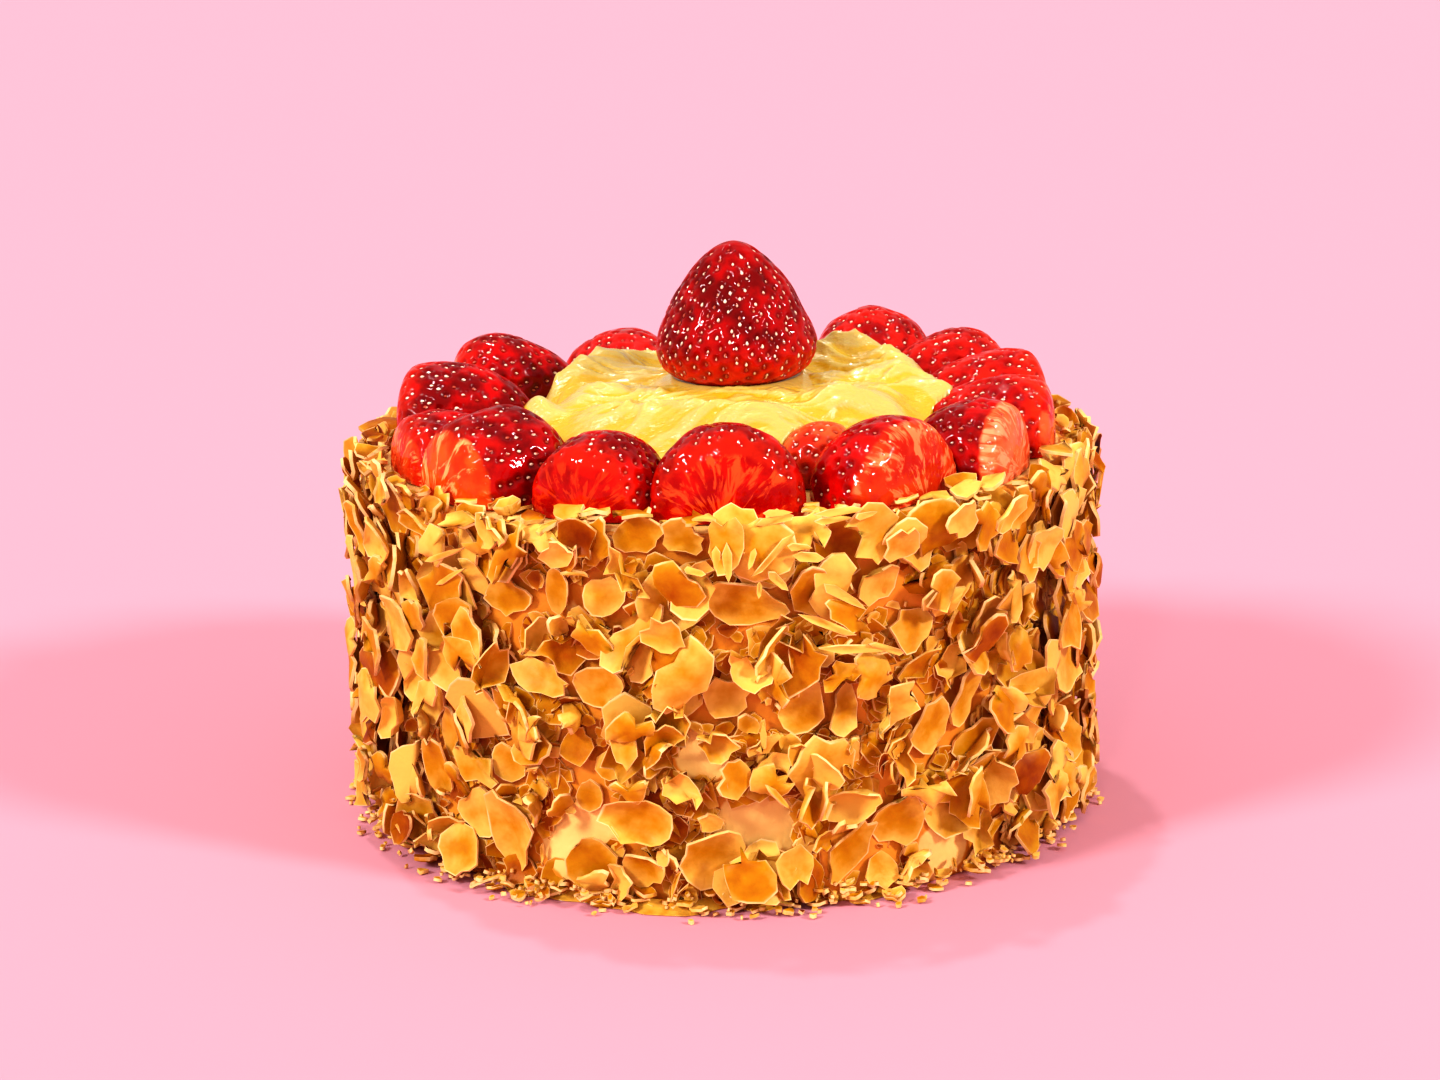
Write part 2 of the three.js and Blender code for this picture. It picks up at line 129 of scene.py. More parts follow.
# Rolls and swooshes that the knife left, the first lowest: points on the way, half width and height
CUSTARD_ROLLS = [
    ([(-32, -49), (0, -47), (30, -41)], 6, 1.0),
    ([(-36, 8), (-8, 16), (14, 22)], 6, 1.2),
    ([(-46, -2), (-26, -4), (-8, 2)], 5, 1.3),
    ([(-30, 20), (-6, 28), (22, 28)], 5, 1.2),
    ([(-36, -20), (-4, -22), (26, -8), (34, 8)], 6.5, 1.3),
    ([(-36, -40), (-14, -35), (8, -29), (32, -17), (42, -4)], 8.5, 2.0),
    ([(-47, -8), (-42, -24), (-34, -42)], 4.5, 1.8),
    ([(22, 12), (40, 15), (54, 6)], 6, 1.8),
    ([(34, -2), (50, -6), (62, -20)], 6, 2.0),
    ([(28, -22), (44, -27), (50, -36)], 6, 1.9),
]

# Flaked almonds, in millimetres and shares. How thick they are, the corners of a large one, how deep its cup
# is and how far it is pressed into the wall.
FLAKE_THICKNESS = 0.9
FLAKE_CORNERS = 6
FLAKE_CUP = (-0.05, 0.11)
FLAKE_GRIP = 1.6
FLAKE_SEED = 4021
# The large ones up the wall, along the rim and at the foot: how many, their length, width as a share of it,
# how far they stand out, and how far they lean up and to the side as a share of the steepest
COAT = dict(rows=9, per_row=17, length=(14, 21), slim=(0.6, 0.82), reach=7.5, up=(-1, 1), side=(-1, 1))
RIM = dict(count=30, length=(14, 20), slim=(0.6, 0.85), reach=7, up=(0.1, 0.9), side=(-0.3, 0.3))
FOOT = dict(count=24, length=(11, 17), slim=(0.5, 0.8), reach=9.5, up=(-0.9, 0), side=(-0.6, 0.6))
# How far those along the rim stand over it and how high those at the foot are, how far out they stay over the
# top, how far off the ground, and how much the ovals taper
RIM_PROUD = (1.5, 7)
FOOT_LIFT = (3, 7)
RIM_CLEAR_RADIUS = 82.3
GROUND_CLEARANCE = 0.05
OVAL_TAPER = 0.22
# Flakes that stand out on the front: bearing and height of the middle, length, width, spin, how far the top
# edge and the left end lean out, share left of the blunt end, depth of the cup
NOTED_FLAKES = (
    (201.6, 88, 14.6, 8, 85, 15, 0, 0.9, 0.05),
    (217, 81.5, 22, 8, -22, 28, 0, 0.9, 0.09),
    (235.2, 69.8, 14, 10.5, 8, 8, 4, 1, 0.05),
    (244.4, 74.3, 15.4, 6.6, 88, 12, 0, 0.75, 0.03),
    (252.2, 73.1, 11.2, 10.4, 30, -6, 12, 1, 0.08),
    (257.6, 87.4, 13.4, 10.2, 5, 8, 0, 0.95, 0.04),
    (264.3, 86.6, 12.3, 10.2, -10, 10, -6, 0.95, 0.04),
    (273.1, 71.9, 25, 11, -14, 14, 5, 0.9, 0.05),
    (293.7, 74.4, 13.5, 11.5, 20, 20, 10, 1, 0.11),
    (299.4, 62.3, 14.1, 11.6, 15, -14, 6, 0.95, 0.04),
    (324.2, 60.8, 14, 8, -78, 16, 0, 1, 0.04),
    (241.5, 52.2, 19, 9, -14, -22, 0, 1, 0.05),
    (251.3, 52.4, 16.4, 11.5, 24, 12, -10, 0.9, 0.04),
    (270.2, 50.4, 13.3, 11.4, 12, 8, 8, 1, 0.06),
    (281.8, 47.9, 16.1, 12.5, 76, 10, -12, 0.95, 0.05),
    (288.1, 45.5, 13.8, 8.2, 84, -8, 14, 1, 0.08),
    (302.9, 38.5, 16.4, 14.6, 66, 8, 12, 1, 0.05),
    (309.6, 43.9, 17.7, 9.5, 80, 14, 10, 0.95, 0.05),
    (327.1, 34.1, 16.5, 12.2, 24, 20, 0, 0.9, 0.05),
    (353.1, 28.8, 15, 9, 80, 38, 0, 1, 0.05),
    (222.4, 34.9, 18, 7.5, 84, 10, -10, 0.9, 0.04),
    (234.9, 30.7, 12.5, 10.6, 10, 6, 8, 0.9, 0.03),
    (247.1, 37.2, 10.5, 8.5, 76, -12, 8, 1, 0.06),
    (219.1, 25.2, 19.4, 9, 92, 16, 12, 1, 0.04),
    (228, 17.2, 14.4, 14, 60, 4, 10, 0.95, 0.04),
    (235.2, 14.8, 25, 16.2, -97, 13, -6, 1, 0.07),
    (225.7, 7.4, 18, 13.3, -35, -34, 0, 0.95, 0.06),
    (202.2, 9.6, 15, 8, 58, -30, 0, 0.95, 0.05),
    (248.8, 26, 9.3, 7.3, 84, 10, 0, 1, 0.06),
    (257.6, 10, 11.7, 11.6, 20, 24, -14, 1, 0.11),
    (268, 13.8, 18.6, 16.5, 40, 16, 12, 0.9, 0.11),
    (288.7, 12.2, 21.1, 9.6, 52, 12, 10, 1, 0.07),
    (297.1, 18.2, 15.3, 14.1, 80, 12, -14, 1, 0.06),
    (294.4, 6.4, 10.6, 10, 10, -20, 0, 0.95, 0.05),
    (315.4, 6.4, 20, 4.4, 26, 8, 10, 1, 0.03),
)
NOTED_CLEARANCE = 9.5
# Bearing, height and radius of the places where the cream shows
BARE_CREAM = ((246.6, 14.1, 8.5), (274.9, 19.5, 8), (266.2, 36.2, 5), (306.2, 7.9, 6))
# More of them, which only the finished look has: bearing, height, length, width, spin, how far the top edge
# and the left end lean out, and how dark it is toasted
SHOWN_FLAKES = (
    (212.0, 91.5, 15, 9, 82, 4, 48, 0.3),
    (205.0, 89.5, 15, 10, 70, 0, 52, 0.45),
    (209.0, 78.0, 15, 8, 84, 0, 42, 0.2),
    (324.5, 75.5, 14.5, 12.5, 20, 14, -10, 0.05),
    (350.0, 74.0, 14, 9, 82, 10, -45, 0.75),
    (352.0, 91.5, 11, 3.6, 36, 0, -52, 1.5),
    (351.0, 89.5, 8, 2.6, 70, 0, -48, 1.4),
    (350.0, 86.0, 10, 2.6, -50, 0, -40, 0.7),
    (262.0, 66.0, 15, 9, -38, 8, 10, 0.3),
    (247.0, 83.5, 13, 8, 12, 24, 0, 0.1),
    (296.0, 84.5, 13, 11, 35, 24, 0, 0.15),
    (305.0, 88.0, 12, 9, 60, 14, 0, 0.1),
    (315.0, 86.0, 14, 9, 20, 20, 10, 0.2),
)
# Slivers that stand out: bearing and height of the middle, length, width and spin
SLIVERS = (
    (266.4, 81.1, 7.1, 2.0, -13),
    (266.3, 83.0, 6.2, 1.8, -8),
    (269.2, 83.8, 6.1, 2.2, -87),
    (270.7, 82.6, 9.3, 2.6, -87),
    (272.1, 81.2, 14.4, 3.6, -101),
    (274.0, 83.9, 5.9, 1.8, -108),
    (276.5, 84.4, 15.1, 2.0, -135),
    (274.9, 76.7, 4.5, 1.5, -96),
    (280.4, 86.2, 7.0, 1.8, -11),
    (281.6, 84.0, 7.7, 3.0, -7),
    (277.4, 78.8, 7.7, 2.5, -47),
    (286.7, 74.0, 12.9, 3.0, -35),
    (277.6, 92.0, 11.0, 2.2, 11),
    (277.5, 93.5, 6.6, 2.0, -1),
    (286.9, 93.0, 14.1, 2.2, 4),
    (285.4, 91.3, 9.6, 1.8, 5),
    (290.0, 91.8, 6.2, 1.8, 9),
    (284.5, 67.7, 15.3, 2.4, -24),
    (285.0, 65.7, 15.1, 2.0, -22),
    (289.4, 61.5, 20.5, 2.0, -9),
    (254.8, 83.9, 8.2, 2.0, 0),
    (227.3, 79.3, 12.7, 1.6, 25),
    (225.6, 75.8, 13.0, 1.6, 30),
    (227.5, 74.0, 11.9, 1.6, 31),
    (238.9, 57.5, 6.8, 1.8, -6),
    (293.1, 60.7, 11.9, 2.0, -21),
)

# How the finished look's almonds lie, in metres: how deep they sink in the cream, how far in over the rim
# they lean, how far a flake may bend over its neighbours, how far the large ones are eased off the wall, how
# deep the bed may be pressed under them, and half of a flake's thickness
CREAM_SOFTNESS = 2.4 * MM
LEDGE_WIDTH = 4.5 * MM
FLAKE_SLACK = 1.2 * MM
LARGE_EASE = 1.2 * MM
DEEPEST_BED = 0.9 * MM
HALF_FLAKE = FLAKE_THICKNESS / 2 * MM
# A height over the top where no almond lies, which keeps a place free
OUT_OF_REACH = 100 * MM
# In millimetres: how far a steep flake is pressed in, how far it may stand over the rim, and how far flakes
# stay from the fruit
STEEP_PRESS = 2.2
HIGHEST_OVER_RIM = 6.5
FRUIT_CLEARANCE = 0.3
# In radians: the middle and spread of the way a flake's length lies and of how far a steep one leans up, and
# the least and most that it leans to the side
UPRIGHT = (math.pi / 2, 0.9)
STEEP_PITCH = (0.15, 0.55)
STEEP_YAW = (0.35, 1.1)
# Chances that a flake takes the first place where it fits and that one on the rim leans in. For those that
# don't and do: how they lean, in radians, and how far over the rim their middle is, in millimetres.
EAGER = 0.6
LEANS_IN = 0.6
RIM_LEANS = (((0.1, 0.35), (-6, 0)), ((-0.75, 0.3), (-3, 1)))
# As shares: how far a border ruffles, how much shorter the blunt end may be, how far out a break may be, how
# much a flake tapers, how far it is twisted, how much of a bare spot stays free, and how much larger the
# scattered large flakes are than in the solids and the slivers than measured
RUFFLE = 0.06
BLUNTEST = 0.35
OUTERMOST_BREAK = 0.85
DRAWN_TAPER = (0.05, 0.45)
TWIST = 0.05
BARE_SHARE = 0.65
LARGE_GROWTH = 1.1
SLIVER_GROWTH = 1.3
# How many breaks a flake may have, and one so far out that it leaves it whole
BREAKS = 3
FAR_OFF = 1000.0
# Kinds of almond: length in millimetres, width as a share of it, cup, the chances of each break, and the
# middle and spread of how dark it is toasted
WHOLE = dict(length=(15, 27), slim=(0.5, 0.85), cup=(-0.1, 0.24), breaks=(0.95, 0.7, 0.35), toast=(0.3, 0.22))
MIDDLING = dict(length=(10, 19), slim=(0.5, 0.9), cup=(-0.1, 0.24), breaks=(1, 0.8, 0.5), toast=(0.34, 0.24))
# The two beds under the others are toasted darker than the rest, which is painted shade under the top layer.
BED = dict(length=(9, 15), slim=(0.5, 0.85), cup=(-0.03, 0.06), breaks=(0.8, 0.5, 0), toast=(0.55, 0.2))
SMALL_BED = dict(length=(4, 8), slim=(0.5, 0.9), cup=(-0.03, 0.06), breaks=(0.8, 0.5, 0), toast=(0.5, 0.22))
BROKEN = dict(length=(5, 10), slim=(0.4, 0.9), cup=(-0.05, 0.14), breaks=(1, 1, 0.5), toast=(0.34, 0.26))
SLIVER = dict(length=(7, 15), slim=(0.1, 0.18), cup=(-0.04, 0.08), breaks=(0.5, 0, 0), toast=(0.12, 0.14))
CRUMB = dict(length=(1.2, 4), slim=(0.4, 0.9), cup=(0, 0), breaks=(0.9, 0.5, 0), toast=(0.4, 0.25))


# Small helpers


def between(limits, share):
    """The number that lies a share of the way between two limits."""
    return limits[0] + (limits[1] - limits[0]) * share


def outwards(bearing):
    """The level direction at a bearing."""
    return np.array([math.cos(bearing), math.sin(bearing), 0])


def all_round(count):
    """Even steps of a full turn."""
    return 2 * math.pi * np.arange(count) / count


def random_stream(seed):
    """The same stream of numbers from 0 to 1 for a seed, in any language."""
    state = seed
    while True:
        state = (state * 16807) % 2147483647
        yield state / 2147483647


def linear(red, green, blue):
    """A screen colour from 0 to 255 as the scene-linear colour that a shader takes."""
    shares = [value / 255 for value in (red, green, blue)]
    return [s / 12.92 if s <= 0.04045 else ((s + 0.055) / 1.055) ** 2.4 for s in shares]


def unevenness(points, size, seed, waves=9):
    """Smooth lumps of about the given size, mostly from -1 to 1."""
    draw = np.random.default_rng(seed)
    ways = draw.normal(size=(waves, 3))
    ways /= np.linalg.norm(ways, axis=1, keepdims=True)
    rates = draw.uniform(0.7, 1.5, waves) * 2 * math.pi / size
    phases = draw.uniform(0, 2 * math.pi, waves)
    return np.sin((points @ ways.T) * rates + phases).sum(axis=1) * math.sqrt(2 / waves) * 0.7


def smoothstep(value):
    """Runs smoothly from 0 to 1 as the value does."""
    share = np.clip(value, 0, 1)
    return share * share * (3 - 2 * share)


def on_the_top(points):
    """From millimetres over the middle of the top to the place on the tilted top, in metres."""
    c, s = math.cos(TOP_TILT), math.sin(TOP_TILT)
    x, y, z = np.asarray(points, float).T
    return np.stack([c * x - s * z, y, s * x + c * z], 1) * MM + np.array([0, 0, CAKE_HEIGHT])


# Meshes


def mesh_of(name, points, faces, smooth=True):
    mesh = bpy.data.meshes.new(name)
    mesh.from_pydata([tuple(p) for p in points], [], faces)
    mesh.validate()
    if smooth:
        mesh.shade_smooth()
    return mesh


def piece_of(name, mesh):
    piece = bpy.data.objects.new(name, mesh)
    bpy.context.scene.collection.objects.link(piece)
    return piece


def ring_faces(rows, columns):
    """Faces of a closed skin: a first pole, rings of points wound anticlockwise round the axis from the
    first pole to the last, and a last pole."""
    faces = []
    last = 1 + rows * columns
    for j in range(columns):
        k = (j + 1) % columns
        faces.append((0, 1 + k, 1 + j))
        for i in range(rows - 1):
            a, b = 1 + i * columns, 1 + (i + 1) * columns
            faces.append((a + j, a + k, b + k, b + j))
        end = 1 + (rows - 1) * columns
        faces.append((end + j, end + k, last))
    return faces


def store(mesh, name, values, kind="FLOAT"):
    """Keeps a number or a vector for each point of a mesh."""
    attribute = mesh.attributes.new(name, kind, "POINT")
    field = "vector" if kind == "FLOAT_VECTOR" else "value"
    cast = np.int32 if kind == "INT" else np.float32
    attribute.data.foreach_set(field, np.asarray(values, cast).ravel())


def finished(piece, finish, nodes=()):
    """Gives a piece its finish and its body, and hides the solids that it stands for."""
    if finish is not None:
        piece.data.materials.clear()
        piece.data.materials.append(finish)
    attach(piece, "root")
    if nodes:
        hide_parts(*nodes)


# Node trees


def feed(tree, socket, value):
    """Links a socket to a field or another socket, or sets it to a value."""
    if isinstance(value, Field):
        tree.links.new(value.socket, socket)
    elif isinstance(value, bpy.types.NodeSocket):
        tree.links.new(value, socket)
    else:
        socket.default_value = value


def add_node(tree, kind, inputs=None, **settings):
    node = tree.nodes.new(kind)
    for name, value in settings.items():
        setattr(node, name, value)
    for name, value in (inputs or {}).items():
        feed(tree, node.inputs[name], value)
    return node


class Field:
    """A number in a node tree. It adds, multiplies and compares, so that a formula reads as one."""

    def __init__(self, tree, socket):
        self.tree = tree
        self.socket = socket

    def maths(self, operation, *terms, swap=False, clamp=False):
        ordered = (*terms, self) if swap else (self, *terms)
        node = add_node(self.tree, "ShaderNodeMath", operation=operation, use_clamp=clamp)
        for socket, term in zip(node.inputs, ordered):
            feed(self.tree, socket, term)
        return Field(self.tree, node.outputs[0])

    def __add__(self, other):
        return self.maths("ADD", other)

    def __sub__(self, other):
        return self.maths("SUBTRACT", other)

    def __rsub__(self, other):
        return self.maths("SUBTRACT", other, swap=True)

    def __mul__(self, other):
        return self.maths("MULTIPLY", other)

    def __gt__(self, other):
        return self.maths("GREATER_THAN", other)

    def clamped(self):
        return self.maths("ADD", 0.0, clamp=True)

    __radd__ = __add__
    __rmul__ = __mul__


def smooth_step(field, low, high):
    """Runs smoothly from 0 at low to 1 at high."""
    node = add_node(
        field.tree, "ShaderNodeMapRange", {"Value": field, "From Min": low, "From Max": high},
        interpolation_type="SMOOTHSTEP")
    return Field(field.tree, node.outputs[0])


def mix_colours(tree, share, first, second):
    node = add_node(tree, "ShaderNodeMix", data_type="RGBA")
    feed(tree, node.inputs[0], share)
    for socket, colour in ((node.inputs[6], first), (node.inputs[7], second)):
        feed(tree, socket, colour if isinstance(colour, bpy.types.NodeSocket) else (*colour, 1))
    return node.outputs[2]


def paint(tree, shader, share, first, second):
    """Colours a shader with a mix of two colours."""
    feed(tree, shader.inputs["Base Color"], mix_colours(tree, share, first, second))


def colour_ramp(tree, share, stops):
    node = add_node(tree, "ShaderNodeValToRGB", {"Fac": share})
    ramp = node.color_ramp
    while len(ramp.elements) < len(stops):
        ramp.elements.new(1)
    for element, (place, colour) in zip(ramp.elements, stops):
        element.position = place
        element.color = (*colour, 1)
    return node.outputs["Color"]


def attribute(tree, name):
    """A piece's own number, painted on its mesh."""
    return Field(tree, add_node(tree, "ShaderNodeAttribute", attribute_name=name).outputs["Fac"])


def noise(tree, scale, detail=2.0, vector=None, roughness=0.5, distortion=0.0):
    """Cloudy noise from 0 to 1, scale in lumps a metre."""
    if vector is None:
        vector = add_node(tree, "ShaderNodeTexCoord").outputs["Object"]
    node = add_node(tree, "ShaderNodeTexNoise", {
        "Vector": vector, "Scale": scale, "Detail": detail, "Roughness": roughness, "Distortion": distortion})
    return Field(tree, node.outputs[0])


def finish_of(name, **sockets):
    """A new material, its tree and its shader, with the shader's sockets set to plain values."""
    material = bpy.data.materials.new(name)
    material.use_nodes = True
    tree = material.node_tree
    shader = tree.nodes["Principled BSDF"]
    for socket, value in sockets.items():
        shader.inputs[socket.replace("_", " ")].default_value = value
    return material, tree, shader


def add_bump(tree, shader, height, distance, strength, socket="Normal"):
    bump = add_node(tree, "ShaderNodeBump", {"Height": height, "Distance": distance, "Strength": strength})
    tree.links.new(bump.outputs["Normal"], shader.inputs[socket])


# Settings


def length_of(name, description, default):
    """A setting in metres."""
    return FloatProperty(name=name, description=description, default=default, unit="LENGTH")


def colour_of(name, description, *default):
    """A setting that is a colour, given as a screen colour from 0 to 255."""
    return FloatVectorProperty(
        name=name, description=description, subtype="COLOR", default=linear(*default))


class CreamSettings(bpy.types.PropertyGroup):
    lump_depth: length_of("Lump depth", "How far the spread cream stands in and out", 0.0006)
    pale: colour_of("Pale cream", "Cream in the light", 246, 206, 126)
    # The stained cream is partly syrup and almond stain and partly painted shade: it colours all the cream in
    # the gaps between the flakes, and only the bare spots and the top keep the pale cream.
    stained_and_shaded: colour_of("Stained cream", "Cream that has taken on colour from the almonds", 222, 146, 50)


class GlazeSettings(bpy.types.PropertyGroup):
    syrup_reach: length_of("Reach", "How far the syrup runs out from the foot", 0.007)
    syrup: colour_of("Syrup", "Thin syrup", 252, 200, 84)
    dark_syrup: colour_of("Dark syrup", "Syrup where it is thick", 228, 146, 26)


class AlmondSettings(bpy.types.PropertyGroup):
    thickness: length_of("Thickness", "Thickness of a flaked almond", 0.75 * MM)
    flake_count: IntProperty(name="Flakes", description="Flakes of each size that are tried", default=1500)
    sliver_count: IntProperty(name="Slivers", description="Thin sticks tried", default=420)
    crumb_count: IntProperty(name="Crumbs", description="Crumbs tried", default=1500)
    raggedness: FloatProperty(
        name="Raggedness", description="Depth of the nicks, as a share of a flake's size", default=0.34)
    light: colour_of("Light toast", "Barely toasted almond", 230, 184, 90)
    golden: colour_of("Golden toast", "Evenly toasted almond", 194, 134, 16)
    deep: colour_of("Deep toast", "Well toasted almond", 168, 92, 0)
    # The cut edge colour is partly the slice's pale edge and partly a painted highlight where the edge
    # catches the light.
    edge: colour_of("Cut edge", "Pale edge of a slice", 250, 214, 154)


class StrawberrySettings(bpy.types.PropertyGroup):
    dimple_depth: length_of("Dimple depth", "How deep each seed sits", 0.0007)
    dimple_radius: length_of("Dimple radius", "Radius of the hollow round a seed", 0.0015)
    seed_length: length_of("Seed length", "Length of one seed", 0.00115)
    # The seeds are paler than gold, whitened so that they also stand in as painted glints.
    seed_glint_colour: colour_of("Seed colour", "Gold of the seeds", 255, 234, 202)


class CustardSettings(bpy.types.PropertyGroup):
    # Painted light and shade: the light colour goes on the ridges and the deep one in the creases.
    light: colour_of("Light custard", "Custard on the ridges", 202, 179, 94)
    deep: colour_of("Deep custard", "Custard in the folds", 205, 168, 36)


class StudioSettings(bpy.types.PropertyGroup):
    lens: FloatProperty(name="Lens", description="Focal length in millimetres", default=80.0)
    distance: length_of("Camera distance", "From the camera to its aim", 0.787)
    pitch: FloatProperty(
        name="Camera pitch", description="How far the camera looks down", default=math.radians(14.84),
        unit="ROTATION")
    roll: FloatProperty(
        name="Camera roll", description="Turn about the line of sight", default=math.radians(-0.91),
        unit="ROTATION")
    floor_colour: colour_of("Floor colour", "Pale floor", 214, 152, 166)
    sky_strength: FloatProperty(name="Sky strength", description="Light from all round", default=0.58)
    key_strength: FloatProperty(name="Key strength", description="Light from the upper left", default=2.0)


# Cream


def cream_finish(settings):
    material, tree, shader = finish_of("cream", Roughness=0.5, Specular_IOR_Level=0.25)
    # Painted shade, partly real stain: the cream is amber everywhere but on the bare spots and the top.
    pale_share = smooth_step(attribute(tree, "bare") + (noise(tree, 160, 3) - 0.5) * 0.9, 0.4, 0.6)
    paint(tree, shader, pale_share, settings.stained_and_shaded, settings.pale)
    add_bump(tree, shader, noise(tree, 420, 4), 0.0004, 0.6)
    return material


def cream_points(settings):
    """The coat's skin from the middle of its underside, up the wall and over to the middle of its top."""
    columns, wall_rows, round_rows, flat_rows = 300, 62, 5, 16
    radius = CAKE_RADIUS - settings.lump_depth
    profile = [(radius * share, 0.0) for share in (0.35, 0.7, 0.985)]
    top = CAKE_HEIGHT - RIM_ROUND
    profile += [(radius, top * (i + 0.15) / wall_rows) for i in range(wall_rows)]
    for i in range(round_rows + 1):
        turn = math.pi / 2 * i / round_rows
        profile.append((
            radius - RIM_ROUND + RIM_ROUND * math.cos(turn), top + RIM_ROUND * math.sin(turn)))
    profile += [((radius - RIM_ROUND) * (1 - i / flat_rows), CAKE_HEIGHT) for i in range(1, flat_rows)]
    bearing = all_round(columns)
    outs = np.array([p[0] for p in profile])[:, None]
    ups = np.array([p[1] for p in profile])[:, None] + 0 * bearing
    wave = WALL_WAVE * np.sin(3 * bearing + 0.8) * np.cos(2 * bearing)
    points = np.stack([outs * np.cos(bearing), outs * np.sin(bearing), ups], 2).reshape(-1, 3)
    lumps = unevenness(points, 0.021, 11) + 0.6 * unevenness(points, 0.009, 12)
    free = smoothstep(points[:, 2] / (4 * MM))
    grown = 1 + (np.tile(wave, len(profile)) + settings.lump_depth * lumps * free) / CAKE_RADIUS
    points[:, :2] *= grown[:, None]
    points[:, 2] += points[:, 2] / CAKE_HEIGHT * points[:, 0] * math.tan(TOP_TILT)
    poles = np.array([[0, 0, 0], [0, 0, CAKE_HEIGHT]])
    return np.vstack([poles[:1], points, poles[1:]]), len(profile), columns


def build_cream(settings):
    points, rows, columns = cream_points(settings)
    mesh = mesh_of("cream_coat", points, ring_faces(rows, columns))
    bearing = np.arctan2(points[:, 1], points[:, 0])
    bare = smoothstep((CAKE_RADIUS - RIM_ROUND - np.hypot(points[:, 0], points[:, 1])) / MM + 1)
    bare *= points[:, 2] > CAKE_HEIGHT / 2
    margin, fade = 4, 5
    for spot in BARE_CREAM:
        away = off_on_wall(bearing, points[:, 2] / MM, spot)
        bare = np.maximum(bare, smoothstep((spot[2] + margin - away) / fade))
    store(mesh, "bare", bare)
    piece = piece_of("cream_coat", mesh)
    finished(piece, cream_finish(settings), ["cake"])


def glaze_finish(settings):
    material, tree, shader = finish_of(
        "syrup", Roughness=0.1, IOR=1.4, Transmission_Weight=0.35, Coat_Weight=1.0, Coat_Roughness=0.05)
    tone = smooth_step(noise(tree, 180, 3), 0.35, 0.65)
    paint(tree, shader, tone, settings.syrup, settings.dark_syrup)
    add_bump(tree, shader, noise(tree, 500, 2), 0.0004, 0.5)
    return material


def build_glaze(settings):
    """A film of syrup that has run down to the foot in front, widest where the lobes are. Its section is a
    flat underside and a back that rises inwards."""
    columns, steps = 480, 8
    front_bearing, spread = math.radians(262), math.radians(30)
    bearing = all_round(columns)
    ring = np.stack([np.cos(bearing), np.sin(bearing), 0 * bearing], 1) * CAKE_RADIUS
    lobes = np.clip(0.5 + 0.5 * unevenness(ring, 0.034, 61) + 0.25 * unevenness(ring, 0.013, 62), 0, 1)
    front = smoothstep(1.6 - np.abs(bearing - front_bearing) / spread)
    edge = CAKE_RADIUS - 2 * MM + settings.syrup_reach * lobes * front
    underside = GROUND_CLEARANCE * MM
    rows = [(CAKE_RADIUS - 5 * MM + 0 * edge, underside), (edge, underside)]
    for i in range(steps):
        share = i / (steps - 1)
        out = edge + 0.35 * MM * math.cos(share * math.pi / 2) - share ** 2 * 3.5 * MM
        rows.append((out, (0.15 + 0.4 * math.sqrt(share) + 2.0 * share ** 4) * MM))
    points = np.stack([np.stack([out * np.cos(bearing), out * np.sin(bearing), up + 0 * out], 1)
                       for out, up in rows], 1).reshape(-1, 3)
    count = len(rows)
    faces = []
    for j in range(columns):
        k = (j + 1) % columns
        for i in range(count):
            n = (i + 1) % count
            faces.append((j * count + i, k * count + i, k * count + n, j * count + n))
    mesh = mesh_of("foot_syrup", points, faces)
    finished(piece_of("foot_syrup", mesh), glaze_finish(settings), ())


# Almonds


class Relief:
    """How far almonds already stand off a surface, cell by cell, so that the next one lies on them."""

    CELL = 1.3 * MM
    # Share of a flake that has to fit under a large one, and the percentiles of its samples that rest on what
    # is there and that come up to the surface
    FITS_UNDER = 0.85
    RESTING = 88
    SUNK = 10

    def __init__(self, columns, rows, start=0.0):
        self.reach = np.full((columns, rows), start)
        self.roof = np.full((columns, rows), np.inf)
        self.crown = np.full((columns, rows), -np.inf)
        self.kept_clear = np.zeros((columns, rows), bool)

    def add_fixed(self, cells, off, keep_clear):
        """A large flake that stands where it is. Others go under it or only up to its border."""
        inner = (cells[0][INNER], cells[1][INNER])
        core = (cells[0][CORE], cells[1][CORE])
        np.minimum.at(self.roof, inner, off[INNER] - HALF_FLAKE - (FLAKE_SLACK if keep_clear else 0))
        np.maximum.at(self.crown, cells, off + HALF_FLAKE)
        if keep_clear:
            self.kept_clear[core] = True

    def lift_for(self, cells, off, press, slack, may_cover):
        """How far out a flake has to move to lie on what is there, or None where it finds no place. Its core
        stays clear of its neighbours, and its border may be pressed into them a little."""
        surfaced = -np.percentile(off, self.SUNK) - max(0, press - 0.5 * MM)
        under = max(self.lift_off(self.reach[cells], off) - press, surfaced)
        below = off + HALF_FLAKE + under <= self.roof[cells] + slack
        if below.all() or (below.mean() > self.FITS_UNDER and below[CORE].all()
                           and not self.kept_clear[cells][~below].any()):
            return under
        if not may_cover or self.kept_clear[cells].any():
            return None
        return self.lift_off(np.maximum(self.reach[cells], self.crown[cells]), off) - press

    def lift_off(self, taken, off):
        need = taken - (off - HALF_FLAKE)
        return max(need[CORE].max(), np.percentile(need, self.RESTING))

    def add_lying(self, cells, off):
        np.maximum.at(self.reach, cells, off + HALF_FLAKE)


